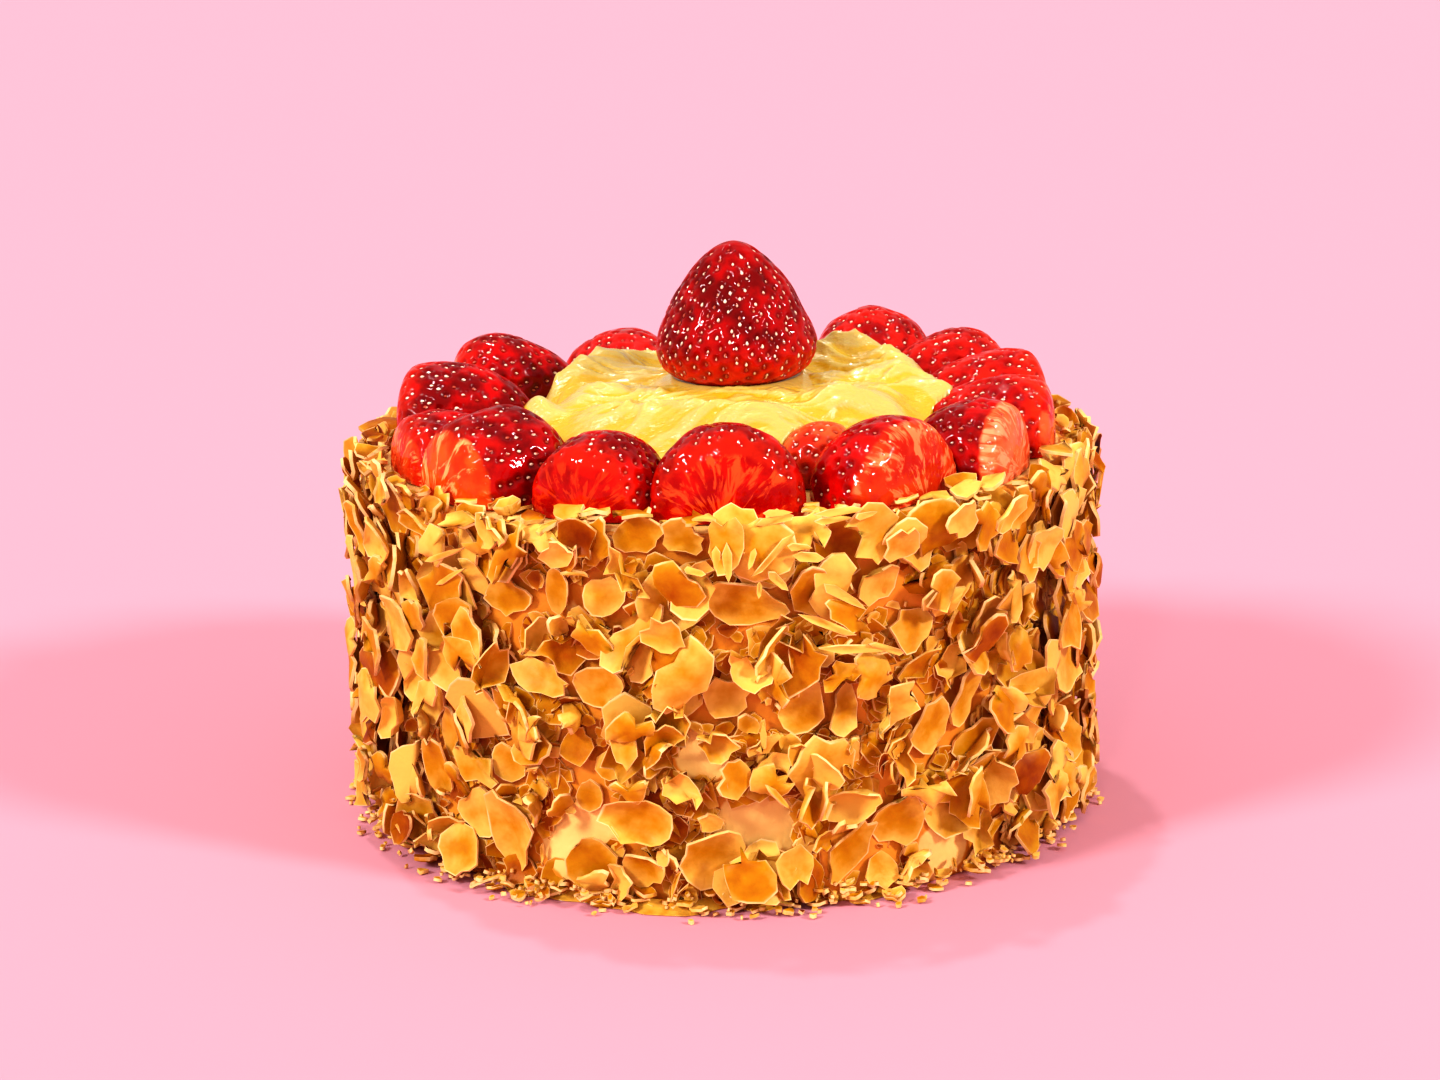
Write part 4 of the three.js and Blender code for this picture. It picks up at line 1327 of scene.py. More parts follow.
def build_almonds(settings):
    """Lays the almonds one after another, so the order of these steps decides what covers what."""
    draw = np.random.default_rng(FLAKE_SEED)
    wall = WallRelief()
    large = fix_large(wall, draw)
    under, small_under, broken, whole, slivers, crumbs = ([] for _ in range(6))
    count = settings.flake_count
    under += lay_under(wall, draw, 3 * count, BED)
    small_under += lay_under(wall, draw, 2 * count, SMALL_BED)
    broken += lay_on_wall(wall, draw, count // 4, BROKEN, lean=0.4, steep_share=0.1, farthest=5)
    whole += lay_on_wall(wall, draw, count // 2, MIDDLING, lean=0.35, steep_share=0.15, farthest=5.5)
    whole += lay_over_rim(wall, draw, count // 2, WHOLE)
    whole += lay_on_wall(wall, draw, 3 * count, WHOLE, lean=0.3, steep_share=0.35, cover=0.7, farthest=9)
    whole += lay_over_rim(wall, draw, count // 3, MIDDLING)
    whole += lay_on_wall(wall, draw, count // 3, MIDDLING, lean=0.4, steep_share=0.7, farthest=9)
    broken += lay_on_wall(wall, draw, count // 6, BROKEN, lean=0.5, steep_share=0.5, cover=0.1)
    slivers += lay_on_wall(wall, draw, settings.sliver_count // 3, SLIVER, steep_share=0.3, cover=0.4)
    whole += lay_shown(wall, draw)
    slivers += lay_slivers(wall, draw)
    crumbs += lay_on_wall(wall, draw, settings.crumb_count // 12, CRUMB, cover=0.1)
    # Then on the top in front of the berries and round the foot
    ledge = ledge_relief(large + whole)
    broken += lay_on_flat(ledge, draw, count, MIDDLING, (86, 75), 5, tilt=0.4, press=0.5)
    broken += lay_on_flat(ledge, draw, count // 2, BROKEN, (85, 74), 4.0, tilt=0.4)
    ground = FlatRelief()
    broken += lay_on_flat(ground, draw, count // 6, BROKEN, (84.5, 90.5), 5)
    slivers += lay_on_flat(ground, draw, settings.sliver_count // 6, SLIVER, (85, 91.5), 5)
    crumbs += lay_on_flat(ground, draw, settings.crumb_count // 2, CRUMB, (85, 93.5), 5)
    tree = almond_tree()
    finish = almond_finish(settings)
    kinds = (
        ("almond_large_flakes", large, slice_template(14, 2)),
        ("almond_bed", under, slice_template(9, 1)),
        ("almond_small_bed", small_under, slice_template(7, 1)),
        ("almond_flakes", whole, slice_template(14, 2)),
        ("almond_broken", broken, slice_template(9, 2)),
        ("almond_slivers", slivers, slice_template(6, 1)),
        ("almond_crumbs", crumbs, slice_template(5, 1)),
    )
    for name, flakes, template in kinds:
        ragged = settings.raggedness * (0.75 if flakes is large else 1)
        almond_piece(name, flakes, tree, template, settings, ragged, finish)
        bpy.data.objects.remove(template)


# Strawberries


def girth(t, berry):
    """Half width of a berry as a share of its widest, from its stem face at 0 to its tip at 1."""
    t = np.asarray(t, float)
    widest = berry["widest"]
    power, root = (CONE_POWER, CONE_ROOT) if berry.get("cone") else (BERRY_POWER, BERRY_ROOT)
    before = 1 - (1 - berry["neck"]) * ((widest - t) / widest) ** 2
    past = np.clip((t - widest) / (1 - widest), 0, 1)
    after = np.maximum(0, 1 - past ** power) ** root
    return np.where(t < widest, before, after)


def rounded_girth(t, berry):
    """The same with the stem face rounded off into the flank."""
    end = np.clip(np.asarray(t) / FACE_DEPTH, 0, 1)
    return girth(t, berry) * (1 - (1 - end) ** FACE_POWER) ** (1 / FACE_POWER)


class Berry:
    """One berry's own frame: x from its stem face to its tip, y across, z up, in millimetres."""

    def __init__(self, spec):
        self.spec = spec
        self.length = spec["length"]
        self.halved = "out" in spec
        self.half_width = spec["width"] / 2
        if self.halved:
            self.axis = max(1.5, spec["height"] - self.half_width)
            self.half_depth = spec["height"] - self.axis
            bearing = math.radians(spec["bearing"])
            self.start = spec["out"] * outwards(bearing)
            forward = outwards(bearing + math.radians(spec["turn"]) + math.pi)
            self.frame = np.stack([forward, [-forward[1], forward[0], 0], [0, 0, 1.0]], 1)
        else:
            self.axis = 0.0
            self.half_depth = self.half_width
            self.start = np.array([spec["x"], 0, spec["base"]])
            self.frame = np.array([[0, 0, -1.0], [0, 1, 0], [1, 0, 0]])

    def surface(self, t, wide, turn):
        """Points of its skin, from how far along they are, how wide it is there, and which way they face."""
        return np.stack([
            self.length * t,
            self.half_width * wide * np.cos(turn),
            self.axis + self.half_depth * wide * np.sin(turn),
        ], -1)

    def to_top(self, local):
        return local @ self.frame.T + self.start

    def to_own(self, points):
        return (points - self.start) @ self.frame

    def inside(self, points, grown):
        """Which points are inside the berry, or closer to it than its growth."""
        own = self.to_own(points)
        t = (own[:, 0] + grown) / (self.length + 2 * grown)
        wide = girth(np.clip(t, 0, 1), self.spec)
        across = own[:, 1] / (self.half_width + grown)
        up = (own[:, 2] - self.axis) / (self.half_depth + grown)
        within = (t > 0) & (t < 1) & (across ** 2 + up ** 2 < wide ** 2)
        return within & (own[:, 2] > (GAP / MM if self.halved else -math.inf) - grown)


def berry_skin(berry, rows=108, columns=216):
    """Points of a berry's skin from the middle of its stem face to its tip, with how far along each one is
    and how much it belongs to the stem face. The stem face is rounded off into the flank."""
    spec = berry.spec
    turn = all_round(columns)
    if berry.halved:
        # Most of the columns go over the berry from just under its flanks, and few over its flat underside
        low, most = -0.42, 0.84
        share = np.arange(columns) / columns
        upper = low + (math.pi - 2 * low) * share / most
        lower = math.pi - low + (math.pi + 2 * low) * (share - most) / 0.16
        turn = np.where(share < most, upper, lower)
    # The profile, evenly spaced along its own length
    t = np.linspace(0, 1, 1200) ** 1.5
    t = np.concatenate([t[t < 0.5], 1 - np.linspace(1, 0, 1200)[:-1] ** 2 * 0.5, [1.0]])
    wide = rounded_girth(t, spec)
    steps = np.hypot(np.diff(t) * berry.length, np.diff(wide) * berry.half_width)
    run = np.concatenate([[0], np.cumsum(steps)])
    even = np.linspace(0, run[-1], rows + 2)[1:-1]
    t, wide = np.interp(even, run, t), np.interp(even, run, wide)
    face = np.clip(1.4 - 1.4 * t / (0.75 * FACE_DEPTH), 0, 1)
    t, wide, face = (values[:, None] + 0 * turn for values in (t, wide, face))
    skin = berry.surface(t, wide, turn).reshape(-1, 3)
    skin = np.vstack([[[0, 0, berry.axis]], skin, [[berry.length, 0, berry.axis]]])
    along = np.concatenate([[0], t.ravel(), [1]])
    face = np.concatenate([[1], face.ravel(), [0]])
    return skin, along, face, rows, columns


def vertex_normals(mesh):
    """Which way the mesh faces at each of its points."""
    normals = np.zeros(len(mesh.vertices) * 3, np.float32)
    mesh.vertex_normals.foreach_get("vector", normals)
    return normals.reshape(-1, 3).astype(float)


def seed_places(berry, count, draw):
    """Seeds wind round the berry at the golden angle, evenly by area, and leave the stem face bare."""
    golden = math.pi * (3 - math.sqrt(5))
    t = np.linspace(0, 1, 400)
    area = np.cumsum(girth(t, berry.spec))
    at = np.interp((np.arange(count) + 0.5) / count, area / area[-1], t) * 0.95 + 0.035
    turn = golden * np.arange(count) + draw.normal(0, 0.06, count)
    at = np.clip(at + draw.normal(0, 0.006, count), 0.05, 0.985)
    return berry.surface(at, girth(at, berry.spec), turn)


def press_apart(berry, skin, earlier):
    """Soft fruit gives way: points inside an earlier berry move back towards this one's axis."""
    own = berry.to_own(skin)
    core = np.stack([np.clip(own[:, 0], 0.15 * berry.length, 0.75 * berry.length), 0 * own[:, 0],
                     0 * own[:, 0] + max(berry.axis, 2.0)], 1)
    core = berry.to_top(core)
    halvings = 14
    for other in earlier:
        hit = other.inside(skin, GAP / MM)
        if not hit.any():
            continue
        low, high = np.zeros(hit.sum()), np.ones(hit.sum())
        start, end = skin[hit], core[hit]
        for _ in range(halvings):
            middle = (low + high) / 2
            still = other.inside(start + (end - start) * middle[:, None], GAP / MM)
            low = np.where(still, middle, low)
            high = np.where(still, high, middle)
        skin[hit] = start + (end - start) * high[:, None]
    return skin


def strawberry_finish(name, look):
    """Crimson skin with painted shade in the dimples, and streaked flesh on the stem face, under a clear
    glaze.
    """
    material, tree, shader = finish_of(
        name, Roughness=0.35, Coat_Weight=0.7, Coat_Roughness=0.03, Coat_IOR=1.42, Specular_IOR_Level=0.0)
    along = attribute(tree, "along")
    dimple = attribute(tree, "dimple")
    cloud = noise(tree, 130, 4)
    mottle = noise(tree, 360, 3)
    skin = mix_colours(tree, smooth_step(cloud, 0.38, 0.62), look["skin_dark"], look["skin"])
    ripeness = smooth_step(along + (mottle - 0.5) * 0.35, look["blush_end"], 0.02)
    skin = mix_colours(tree, ripeness * look["blush"], skin, look["skin_pale"])
    # Painted shade in the dimples round the seeds.
    skin = mix_colours(tree, dimple * 0.55, skin, look["pit_shade"])
    place = add_node(tree, "ShaderNodeAttribute", attribute_name="on_face").outputs["Vector"]
    parts = add_node(tree, "ShaderNodeSeparateXYZ", {0: place})
    across, up = (Field(tree, parts.outputs[i]) for i in (0, 1))
    brow = smooth_step(up, 0.5, 0.95)
    across, up = across - look["core"][0], up - look["core"][1]
    angle = up.maths("ARCTAN2", across)
    away = (across * across + up * up).maths("SQRT")
    fan = add_node(tree, "ShaderNodeCombineXYZ", {"X": angle * 3.0, "Y": away * 1.6, "Z": look["seed"]})
    streak = noise(tree, look["streak_rate"], 4, fan.outputs[0], 0.6, 1.1)
    patch = noise(tree, 110, 2)
    pale = smooth_step(streak + (patch - 0.5) * 0.5, 0.5, 0.64)
    flesh = mix_colours(tree, smooth_step(cloud, 0.62, 0.4), look["flesh"], look["flesh_deep"])
    flesh = mix_colours(tree, pale * look["streaks"], flesh, look["flesh_pale"])
    core = smooth_step(away + (mottle - 0.5) * 0.2, 0.42, 0.05)
    flesh = mix_colours(tree, core * look["core_depth"], flesh, look["core_colour"])
    spread = smooth_step(along, look["spread"] * 1.5, look["spread"] * 0.5)
    face = attribute(tree, "face").maths("MAXIMUM", spread) - brow * look["brow"]
    face = smooth_step(face + (mottle - 0.5) * 0.5 + (patch - 0.5) * 0.9, 0.4, 0.75)
    paint(tree, shader, face, skin, flesh)
    add_bump(tree, shader, noise(tree, 700, 3), 0.0003, 0.35)
    add_bump(tree, shader, noise(tree, 400, 1), 0.0008, 0.6, "Coat Normal")
    return material


# What a berry looks like. Colours: its skin in the light and in the dark lumps, near the stem face and the
# painted shade in the pits, its flesh, and that in the dark parts, in the streaks and at the core. Numbers:
# how close the streaks are and how much they show, where the core is and how much it shows, how much paler
# the skin gets and up to where, how far the flesh spreads, and how much of it the brow hides.
PLAIN_LOOK = dict(
    skin=(188, 4, 4), skin_dark=(118, 0, 2), skin_pale=(224, 48, 14), pit_shade=(76, 0, 1),
    flesh=(218, 42, 10), flesh_deep=(186, 8, 2), flesh_pale=(246, 128, 72),
    streak_rate=1.9, core=(0.0, 0.1), core_colour=(176, 16, 6), core_depth=0.6, streaks=0.75, blush=0.5,
    blush_end=0.3, spread=0.02, brow=0.5)
BERRY_COLOURS = [key for key, value in PLAIN_LOOK.items() if isinstance(value, tuple) and len(value) == 3]
# What is different about each berry, by its number. 15 is the inner one and 0 the whole one.
BERRY_LOOKS = {
    1: dict(skin=(208, 34, 18), skin_dark=(158, 8, 4), blush=0.7),
    2: dict(skin=(202, 30, 16), skin_dark=(150, 6, 4), blush=0.7),
    3: dict(skin=(206, 28, 14), skin_dark=(146, 4, 4), blush=0.6),
    4: dict(skin=(202, 20, 12), skin_dark=(142, 4, 4)),
    5: dict(skin=(208, 24, 12), skin_dark=(154, 6, 4)),
    8: dict(flesh=(226, 84, 30), flesh_deep=(206, 44, 14), flesh_pale=(246, 156, 96)),
    9: dict(skin=(172, 6, 8), skin_dark=(112, 0, 4), flesh=(230, 92, 28),
            flesh_deep=(212, 58, 12), flesh_pale=(250, 176, 112), core=(0.3, -0.1), streaks=0.95,
            streak_rate=1.5, blush=0.25, spread=0.12),
    10: dict(skin=(186, 8, 6), skin_dark=(124, 0, 4), flesh=(196, 18, 4),
             flesh_deep=(152, 4, 2), flesh_pale=(236, 84, 30), streaks=0.45, core=(-0.05, 0.05),
             core_colour=(234, 60, 14), core_depth=0.75, brow=0.8),
    11: dict(skin=(182, 6, 4), skin_dark=(122, 0, 2), flesh=(196, 16, 0),
             flesh_deep=(160, 2, 0), flesh_pale=(240, 94, 40), streaks=0.75, brow=0.7, core=(0.1, -0.05),
             core_depth=0.15),
    12: dict(skin=(204, 16, 8), skin_dark=(152, 2, 2), flesh=(206, 64, 22),
             flesh_deep=(186, 34, 10), flesh_pale=(240, 140, 88), core=(-0.15, -0.15),
             core_colour=(150, 10, 2), core_depth=0.9, streaks=0.85, streak_rate=2.4, spread=0.2,
             brow=0.15),
    13: dict(skin=(184, 8, 8), skin_dark=(128, 2, 4), flesh=(232, 112, 64),
             flesh_deep=(216, 78, 38), flesh_pale=(250, 170, 124), core_depth=0.1, streaks=0.7,
             spread=0.2, brow=0.1),
    14: dict(skin=(208, 32, 16), skin_dark=(158, 8, 6), flesh=(232, 104, 54), blush=0.9,
             spread=0.12),
    15: dict(skin=(214, 92, 48), skin_dark=(194, 44, 20), skin_pale=(238, 132, 76), blush=0.9),
    0: dict(skin=(166, 4, 4), skin_dark=(112, 0, 2), skin_pale=(222, 50, 10), blush=0.95,
            blush_end=0.42),
}


def dimples(local, seeds, radius):
    """How far each point is sunk in a dimple, from 0 to 1, and which point is nearest to each seed."""
    sunk = np.zeros(len(local))
    finder = KDTree(len(local))
    for i, point in enumerate(local):
        finder.insert(point, i)
    finder.balance()
    nearest = [finder.find(spot)[1] for spot in seeds]
    for middle in nearest:
        for _, i, away in finder.find_range(local[middle], radius):
            sunk[i] = max(sunk[i], (1 - (away / radius) ** 2) ** 1.5)
    return sunk, nearest


def build_berry(berry, name, index, earlier, settings, draw):
    """One berry with its dimples, and the places of its seeds."""
    local, along, face, rows, columns = berry_skin(berry)
    lumps = unevenness(local + 40.0 * index, 13, 30 + index)
    swell = LUMPINESS[berry.halved] * lumps * (1 - 0.7 * face)
    local[:, 1] *= 1 + swell
    local[:, 2] = berry.axis + (local[:, 2] - berry.axis) * (1 + swell)
    count = SEED_COUNTS[berry.halved] * (berry.length / USUAL_LENGTH) ** 1.5
    seeds = seed_places(berry, round(count), draw)
    centre = np.array([0.4 * berry.length, 0, berry.axis])
    mesh = mesh_of(name, berry.to_top(local) * MM, ring_faces(rows, columns))
    normals = vertex_normals(mesh) @ berry.frame
    if np.mean(np.sum(normals * (local - centre), 1)) < 0:
        mesh.flip_normals()
        normals = -normals
    depth = settings.dimple_depth / MM
    dimple, nearest = dimples(local, seeds, settings.dimple_radius / MM)
    spots = berry.to_top(local[nearest] - normals[nearest] * depth * 0.8)
    ways = normals[nearest] @ berry.frame.T
    dimple *= 1 - face
    local = local - normals * (dimple * depth)[:, None]
    if berry.halved:
        local[:, 2] = np.maximum(local[:, 2], GAP / MM)
    placed = press_apart(berry, berry.to_top(local), earlier)
    mesh.vertices.foreach_set("co", on_the_top(placed).astype(np.float32).ravel())
    mesh.update()
    store(mesh, "along", along)
    store(mesh, "face", face)
    store(mesh, "dimple", dimple)
    top = berry.axis + berry.half_depth
    on_face = np.stack([local[:, 1] / berry.half_width, local[:, 2] / top, 0 * face], 1)
    store(mesh, "on_face", on_face, "FLOAT_VECTOR")
    piece = piece_of(name, mesh)
    look = {**PLAIN_LOOK, **BERRY_LOOKS.get(index, {}), "seed": 3.7 * index}
    for key in BERRY_COLOURS:
        look[key] = linear(*look[key])
    finished(piece, strawberry_finish(name, look), [name])
    forward = np.tile(berry.frame[:, 0], (len(spots), 1))
    keep = spots[:, 2] > 1.0
    for other in earlier:
        keep &= ~other.inside(spots, 0.6)
    return spots[keep], ways[keep], forward[keep]


def seed_template():
    """A small pointed drop, length along x, in unit size."""
    rows, columns = 4, 6
    points = [(-0.5, 0, 0)]
    for i in range(1, rows + 1):
        t = i / (rows + 1)
        wide = math.sin(math.pi * t ** 0.8) ** 0.9 * 0.32
        for j in range(columns):
            turn = 2 * math.pi * j / columns
            points.append((t - 0.5, wide * math.cos(turn), 0.62 * wide * math.sin(turn)))
    points.append((0.5, 0, 0))
    faces = [tuple(reversed(face)) for face in ring_faces(rows, columns)]
    mesh = mesh_of("seed_shape", points, faces)
    return bpy.data.objects.new("seed_shape", mesh)


def scatter_tree():
    """Sets a shape at each point, turned and sized by the point's own numbers."""
    tree, given = new_tree(
        "Scattered shapes", "Shapes", Points="Geometry", Shape="Object", Size="Float", Finish="Material")
    turn = add_node(tree, "FunctionNodeEulerToRotation", {"Euler": named(tree, "turn", "FLOAT_VECTOR")})
    size = Field(tree, named(tree, "grown")) * Field(tree, given["Size"])
    real = spread_real(tree, given["Points"], given["Shape"], Rotation=turn.outputs[0], Scale=size)
    give_finish(tree, "Shapes", real, given["Finish"])
    return tree


def seed_finish(settings):
    material, tree, shader = finish_of("strawberry seed", Roughness=0.3, Coat_Weight=1.0, Coat_Roughness=0.05)
    # Painted glints, partly the seeds' own colour: most seeds are whitened.
    tone = smooth_step(noise(tree, 700, 1), 0.4, 0.6)
    paint(tree, shader, tone, settings.seed_glint_colour, linear(176, 62, 20))
    return material


def scattered(name, spots, turns, sizes, tree, template, size, finish):
    """A piece made of one shape set at many spots."""
    mesh = mesh_of(name, spots, [])
    store(mesh, "turn", turns, "FLOAT_VECTOR")
    store(mesh, "grown", sizes)
    piece = piece_of(name, mesh)
    apply_tree(piece, tree, shape=template, size=size, finish=finish)
    finished(piece, None, ())


RING = [Berry(spec) for spec in [*RING_BERRIES, INNER_BERRY]]


def build_strawberries(settings):
    draw = np.random.default_rng(SEEDS_DRAW)
    names = [f"strawberry_{i + 1:02d}" for i in range(len(RING_BERRIES))] + ["strawberry_inner"]
    found = []
    for i, (berry, name) in enumerate(zip(RING, names)):
        found.append(build_berry(berry, name, i + 1, RING[:i], settings, draw))
    found.append(build_berry(Berry(CENTRE_BERRY), "strawberry_centre", 0, [], settings, draw))
    spots, ways, forward = (np.vstack(part) for part in zip(*found))
    turns = []
    for way, ahead in zip(ways, forward):
        along = ahead - way * (ahead @ way)
        along /= max(np.linalg.norm(along), 1e-6)
        side = np.cross(way, along)
        matrix = Matrix((along, side, way)).transposed()
        turns.append(tuple(matrix.to_euler("XYZ")))
    sizes = draw.uniform(0.8, 1.2, len(spots))
    template = seed_template()
    scattered("strawberry_seeds", on_the_top(spots), turns, sizes, scatter_tree(), template,
              settings.seed_length, seed_finish(settings))
    bpy.data.objects.remove(template)


# Custard


def custard_outline(bearing):
    """How far out the custard reaches."""
    o = CUSTARD_OUTLINE
    return (o["mean"] + o["right"] * np.cos(bearing) + o["back"] * np.sin(bearing)
            + o["lobe_depth"] * np.cos(o["lobes"] * bearing + 0.6))


def roll_height(x, y, roll, sway):
    """A rounded roll along a bent line, with thin lines that the knife left in it."""
    points, half, height = roll
    nearest = np.full(x.shape, np.inf)
    along = np.zeros(x.shape)
    side = np.zeros(x.shape)
    run = 0.0
    for (x0, y0), (x1, y1) in zip(points, points[1:]):
        length = math.hypot(x1 - x0, y1 - y0)
        ux, uy = (x1 - x0) / length, (y1 - y0) / length
        share = np.clip((x - x0) * ux + (y - y0) * uy, 0, length)
        away = np.hypot(x - x0 - share * ux, y - y0 - share * uy)
        closer = away < nearest
        nearest = np.where(closer, away, nearest)
        along = np.where(closer, run + share, along)
        side = np.where(closer, (y - y0) * ux - (x - x0) * uy, side)
        run += length
    q = nearest / half + 0.22 * sway
    lines = 0.09 * np.sin(side * 3.2 + sway * 2) + 0.06 * np.sin(side * 5.3 - along * 0.15)
    bulge = np.clip(1 - q * q, 0, 1) ** 0.62
    return bulge * (height + lines) * smoothstep(1.15 - 0.3 * np.cos(2 * math.pi * along / run))


def custard_top(x, y):
    """How high the custard is over the top of the cake."""
    bearing = np.arctan2(y, x)
    edge = custard_outline(bearing)
    inward = smoothstep((edge - np.hypot(x, y)) / CUSTARD_SHOULDER)
    spacing = CUSTARD_FOLD["spacing"]
    fold = 2 * math.pi * y / spacing + CUSTARD_FOLD["sway"] * np.sin(x / spacing)
    fold = CUSTARD_FOLD["height"] * np.sin(fold)
    z = CUSTARD_EDGE_HEIGHT + (CUSTARD_HEIGHT - CUSTARD_EDGE_HEIGHT + fold) * inward
    for px, py, height, long, wide, turn in CUSTARD_PEAKS:
        c, s = math.cos(math.radians(turn)), math.sin(math.radians(turn))
        along = (x - px) * c + (y - py) * s
        across = (y - py) * c - (x - px) * s
        z = z + height * np.exp(-((along / long) ** 2) - (across / wide) ** 2)
    flat = np.stack([x.ravel(), y.ravel(), 0 * x.ravel()], 1)
    sway = unevenness(flat, 19, 53).reshape(x.shape)
    rolls = np.zeros(x.shape)
    left_over = 0.93
    for roll in CUSTARD_ROLLS:
        rolls = np.maximum(rolls * left_over, roll_height(x, y, roll, sway))
    bent = flat + np.stack([0 * flat[:, 0], 2.5 * sway.ravel(), 0 * flat[:, 0]], 1)
    ridges = 1 - 2 * np.abs(unevenness(bent * [0.3, 1.5, 1], 11, 51)).reshape(x.shape)
    fine = 1 - 2 * np.abs(unevenness(bent * [0.4, 1.6, 1], 5, 52)).reshape(x.shape)
    z = z + (rolls - 0.8 + 0.55 * ridges + 0.25 * fine) * inward
    for px, py, height, wide in CUSTARD_TIPS:
        z = z + height * np.exp(-np.hypot(x - px, y - py) / wide)
    collar, below_berry = custard_collar(x, y)
    return np.minimum(np.maximum(z, collar), below_berry)


def custard_collar(x, y):
    """Custard pushed up round the foot of the berry that stands in it, close against its rounded end, and
    the height that the custard stays under so as not to reach into that berry."""
    berry = Berry(CENTRE_BERRY)
    t = np.linspace(0, CENTRE_BERRY["widest"], 80)
    reach = berry.half_width * rounded_girth(t, CENTRE_BERRY)
    away = np.hypot(x - CENTRE_BERRY["x"], y)
    skin = CENTRE_BERRY["base"] + np.interp(away, reach, berry.length * t, right=100) - 1.5 * GAP / MM
    edge = np.interp(COLLAR_HEIGHT, berry.length * t, reach)
    top = CENTRE_BERRY["base"] + COLLAR_HEIGHT - 1.5 * GAP / MM
    collar = np.minimum(skin, top - 0.45 * np.maximum(0, away - edge))
    return collar, skin


def custard_finish(settings):
    material, tree, shader = finish_of(
        "custard", Roughness=0.3, Coat_Weight=0.8, Coat_Roughness=0.06, Subsurface_Weight=0.3,
        Subsurface_Radius=(0.006, 0.004, 0.001), Subsurface_Scale=1.0)
    fold = attribute(tree, "fold")
    stretched = add_node(
        tree, "ShaderNodeMapping",
        {"Vector": add_node(tree, "ShaderNodeTexCoord").outputs["Object"], "Scale": (45, 130, 90)})
    cloud = noise(tree, 1.0, 3, stretched.outputs[0], 0.55, 0.8)
    # Painted shade in the creases and painted light on the ridges, by the fold.
    share = smooth_step(fold + (cloud - 0.5) * 0.9, 0.25, 0.75)
    paint(tree, shader, share, settings.deep, settings.light)
    add_bump(tree, shader, noise(tree, 8.0, 3, stretched.outputs[0]), 0.0006, 0.7)
    return material


def build_custard(settings):
    columns, rows = 400, 150
    bearing = all_round(columns)
    shares = np.concatenate([[0.3, 0.7, 1.0], 1 - np.arange(0, rows) / rows])
    flat_rows = 3
    edge = custard_outline(bearing)
    x = shares[:, None] * edge * np.cos(bearing)
    y = shares[:, None] * edge * np.sin(bearing)
    z = custard_top(x, y)
    fold = hollows(z)
    z[:flat_rows] = GAP / MM
    z[flat_rows] = CUSTARD_EDGE_HEIGHT * 0.55
    points = np.stack([x, y, z], 2).reshape(-1, 3)
    sunk = np.zeros(len(points), bool)
    for berry in RING:
        sunk |= berry.inside(points, 0.15)
    points[:, 2] = np.where(sunk, np.minimum(points[:, 2], 2 * GAP / MM), points[:, 2])
    middle = float(custard_top(np.zeros((1, 1)), np.zeros((1, 1)))[0, 0])
    points = np.vstack([[[0, 0, GAP / MM]], points, [[0, 0, middle]]])
    mesh = mesh_of("custard", on_the_top(points), ring_faces(len(shares), columns))
    store(mesh, "fold", np.concatenate([[0.5], fold.ravel(), [0.5]]))
    finished(piece_of("custard_mound", mesh), custard_finish(settings), ["custard"])


def hollows(heights):
    """From 0 in a crease to 1 on a ridge, for heights on rings of points, which the finish uses to paint
    shade in the creases.
    """
    level = heights.copy()
    for _ in range(40):
        level = (np.roll(level, 1, 1) + np.roll(level, -1, 1) + 2 * level) / 4
        level[1:-1] = (level[:-2] + level[2:] + 2 * level[1:-1]) / 4
    return np.clip(0.5 + 1.3 * (heights - level), 0, 1)


# Studio


def add_camera(settings):
    aim = Vector((-0.0005, 0, 0.0638))
    back = Vector((0, -math.cos(settings.pitch), math.sin(settings.pitch)))
    data = bpy.data.cameras.new("camera")
    data.lens = settings.lens
    data.sensor_width = 36
    data.clip_end = 50
    camera = bpy.data.objects.new("camera", data)
    camera.location = aim + back * settings.distance
    level = (-back).to_track_quat("-Z", "Y").to_matrix()
    camera.rotation_euler = (level @ Matrix.Rotation(settings.roll, 3, "Z")).to_euler()
    bpy.context.scene.collection.objects.link(camera)
    bpy.context.scene.camera = camera


def floor_finish(settings):
    material, tree, shader = finish_of("floor", Roughness=0.9, Specular_IOR_Level=0.1)
    shaded = [value * 0.97 for value in settings.floor_colour]
    paint(tree, shader, noise(tree, 2.0, 2) * 0.3, settings.floor_colour, shaded)
    return material


# Name, where from, share of the key's strength and how wide it looks, in degrees
SOFT_SUNS = (
    ("key light", (-0.85, -0.6, 0.7), 1.0, 12),
    ("right light", (0.9, -0.5, 0.6), 0.92, 9),
    ("top light", (-0.15, 0.35, 1.0), 0.3, 3),
    ("front light", (-0.25, -1.0, 0.6), 0.12, 4),
)


def build_stage(settings):
    span = 6.0
    corners = [(-span, -span, 0), (span, -span, 0), (span, span, 0), (-span, span, 0)]
    floor = piece_of("floor", mesh_of("floor", corners, [(0, 1, 2, 3)], smooth=False))
    floor.data.materials.append(floor_finish(settings))
    world = bpy.data.worlds.new("studio")
    world.use_nodes = True
    background = world.node_tree.nodes["Background"]
    background.inputs["Color"].default_value = (*linear(255, 236, 236), 1)
    background.inputs["Strength"].default_value = settings.sky_strength
    bpy.context.scene.world = world
    for name, way, share, angle in SOFT_SUNS:
        sun = bpy.data.lights.new(name, "SUN")
        sun.energy = settings.key_strength * share
        sun.angle = math.radians(angle)
        light = bpy.data.objects.new(name, sun)
        light.rotation_euler = (-Vector(way)).to_track_quat("-Z", "Y").to_euler()
        bpy.context.scene.collection.objects.link(light)
    view = bpy.context.scene.view_settings
    view.view_transform = "Standard"
    view.look = "High Contrast"
    view.exposure = 0.0
    add_camera(settings)


# Operators


class CAKE_OT_cream(bpy.types.Operator):
    """Spread the cream over the cake"""

    bl_idname = "cake.cream"
    bl_label = "Cream coat"

    def execute(self, context):
        build_cream(context.scene.cake_cream)
        return {"FINISHED"}


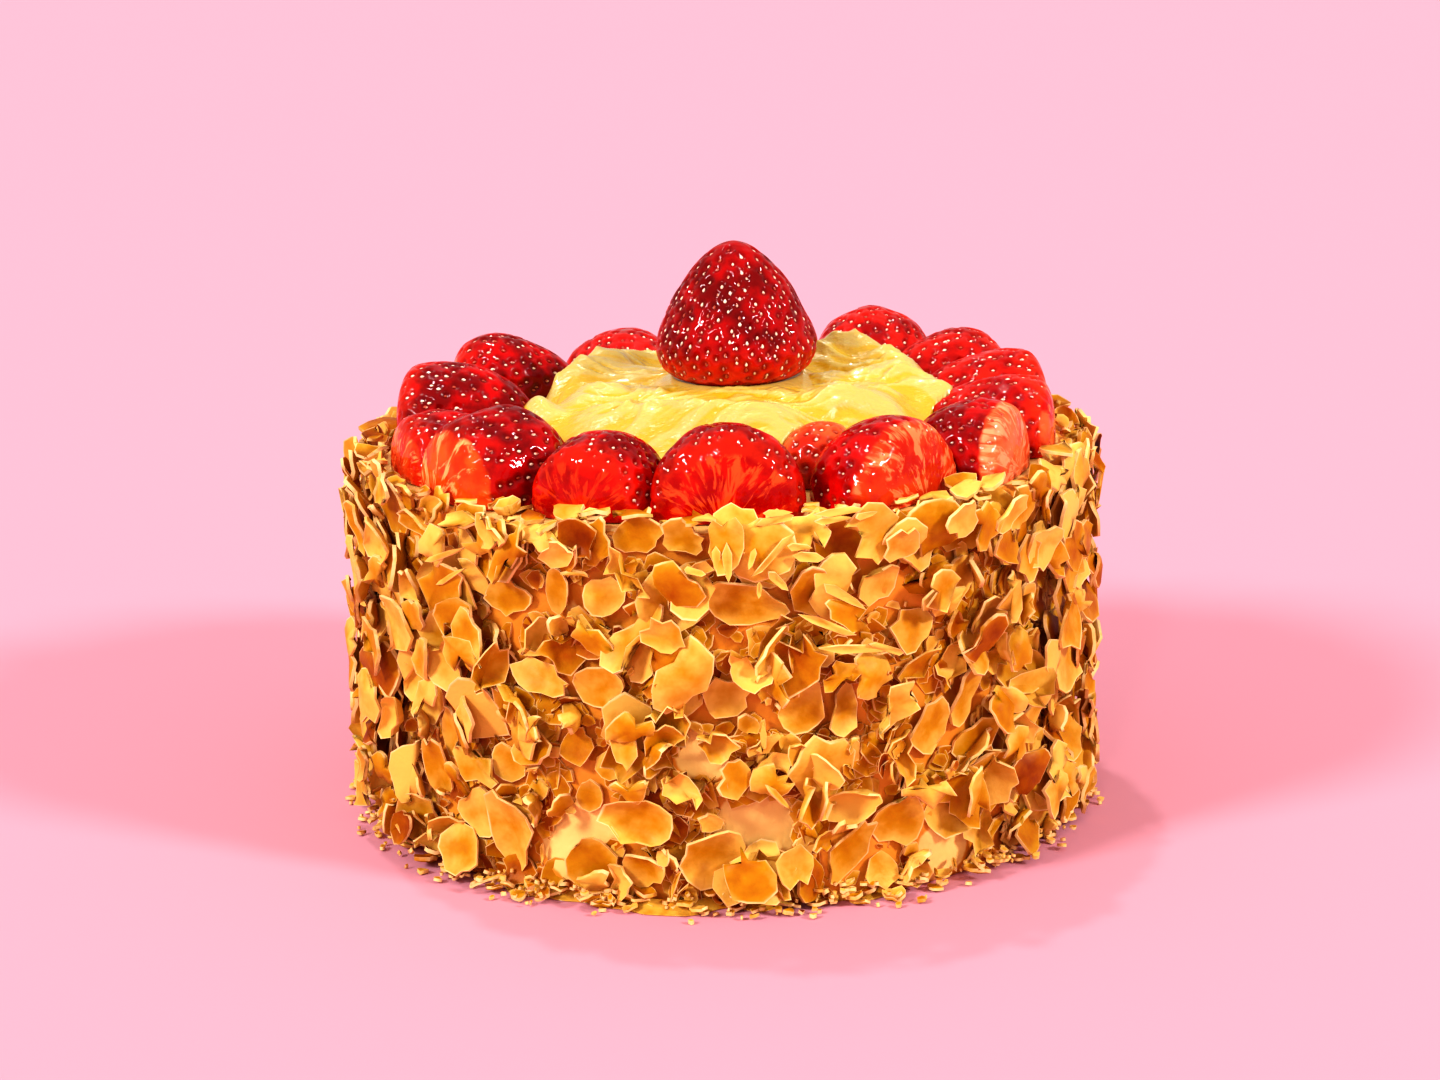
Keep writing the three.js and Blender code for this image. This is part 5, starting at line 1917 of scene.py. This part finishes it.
class CAKE_OT_glaze(bpy.types.Operator):
    """Run syrup down to the foot of the cake"""

    bl_idname = "cake.glaze"
    bl_label = "Syrup at the foot"

    def execute(self, context):
        build_glaze(context.scene.cake_glaze)
        return {"FINISHED"}


class CAKE_OT_almonds(bpy.types.Operator):
    """Press flaked almonds on the side and round the foot"""

    bl_idname = "cake.almonds"
    bl_label = "Flaked almonds"

    def execute(self, context):
        build_almonds(context.scene.cake_almonds)
        return {"FINISHED"}


class CAKE_OT_strawberries(bpy.types.Operator):
    """Lay the halved strawberries round the edge and stand the whole one in the middle"""

    bl_idname = "cake.strawberries"
    bl_label = "Strawberries"

    def execute(self, context):
        build_strawberries(context.scene.cake_strawberries)
        return {"FINISHED"}


class CAKE_OT_custard(bpy.types.Operator):
    """Spread the custard in the middle"""

    bl_idname = "cake.custard"
    bl_label = "Custard"

    def execute(self, context):
        build_custard(context.scene.cake_custard)
        return {"FINISHED"}


class CAKE_OT_stage(bpy.types.Operator):
    """Set up the floor, the light and the camera"""

    bl_idname = "cake.stage"
    bl_label = "Stage"

    def execute(self, context):
        build_stage(context.scene.cake_studio)
        return {"FINISHED"}


OPERATORS = (
    CAKE_OT_cream, CAKE_OT_glaze, CAKE_OT_almonds, CAKE_OT_strawberries, CAKE_OT_custard, CAKE_OT_stage)
SETTINGS = {
    "cake_cream": CreamSettings,
    "cake_glaze": GlazeSettings,
    "cake_almonds": AlmondSettings,
    "cake_strawberries": StrawberrySettings,
    "cake_custard": CustardSettings,
    "cake_studio": StudioSettings,
}


class CAKE_PT_panel(bpy.types.Panel):
    """Lists the cake's pieces and their settings"""

    bl_idname = "CAKE_PT_panel"
    bl_label = "Fruit cake"
    bl_space_type = "VIEW_3D"
    bl_region_type = "UI"
    bl_category = "Fruit cake"

    def draw(self, context):
        for operator in OPERATORS:
            self.layout.operator(operator.bl_idname)
        for name, group in SETTINGS.items():
            box = self.layout.box()
            for key in group.__annotations__:
                box.prop(getattr(context.scene, name), key)


CLASSES = (*SETTINGS.values(), *OPERATORS, CAKE_PT_panel)


def register():
    for made in CLASSES:
        bpy.utils.register_class(made)
    for name, group in SETTINGS.items():
        setattr(bpy.types.Scene, name, PointerProperty(type=group))


def unregister():
    for name in SETTINGS:
        delattr(bpy.types.Scene, name)
    for made in reversed(CLASSES):
        bpy.utils.unregister_class(made)


def main():
    register()
    bpy.ops.cake.cream()
    bpy.ops.cake.glaze()
    bpy.ops.cake.almonds()
    bpy.ops.cake.strawberries()
    bpy.ops.cake.custard()
    bpy.ops.cake.stage()


if __name__ == "__main__":
    main()
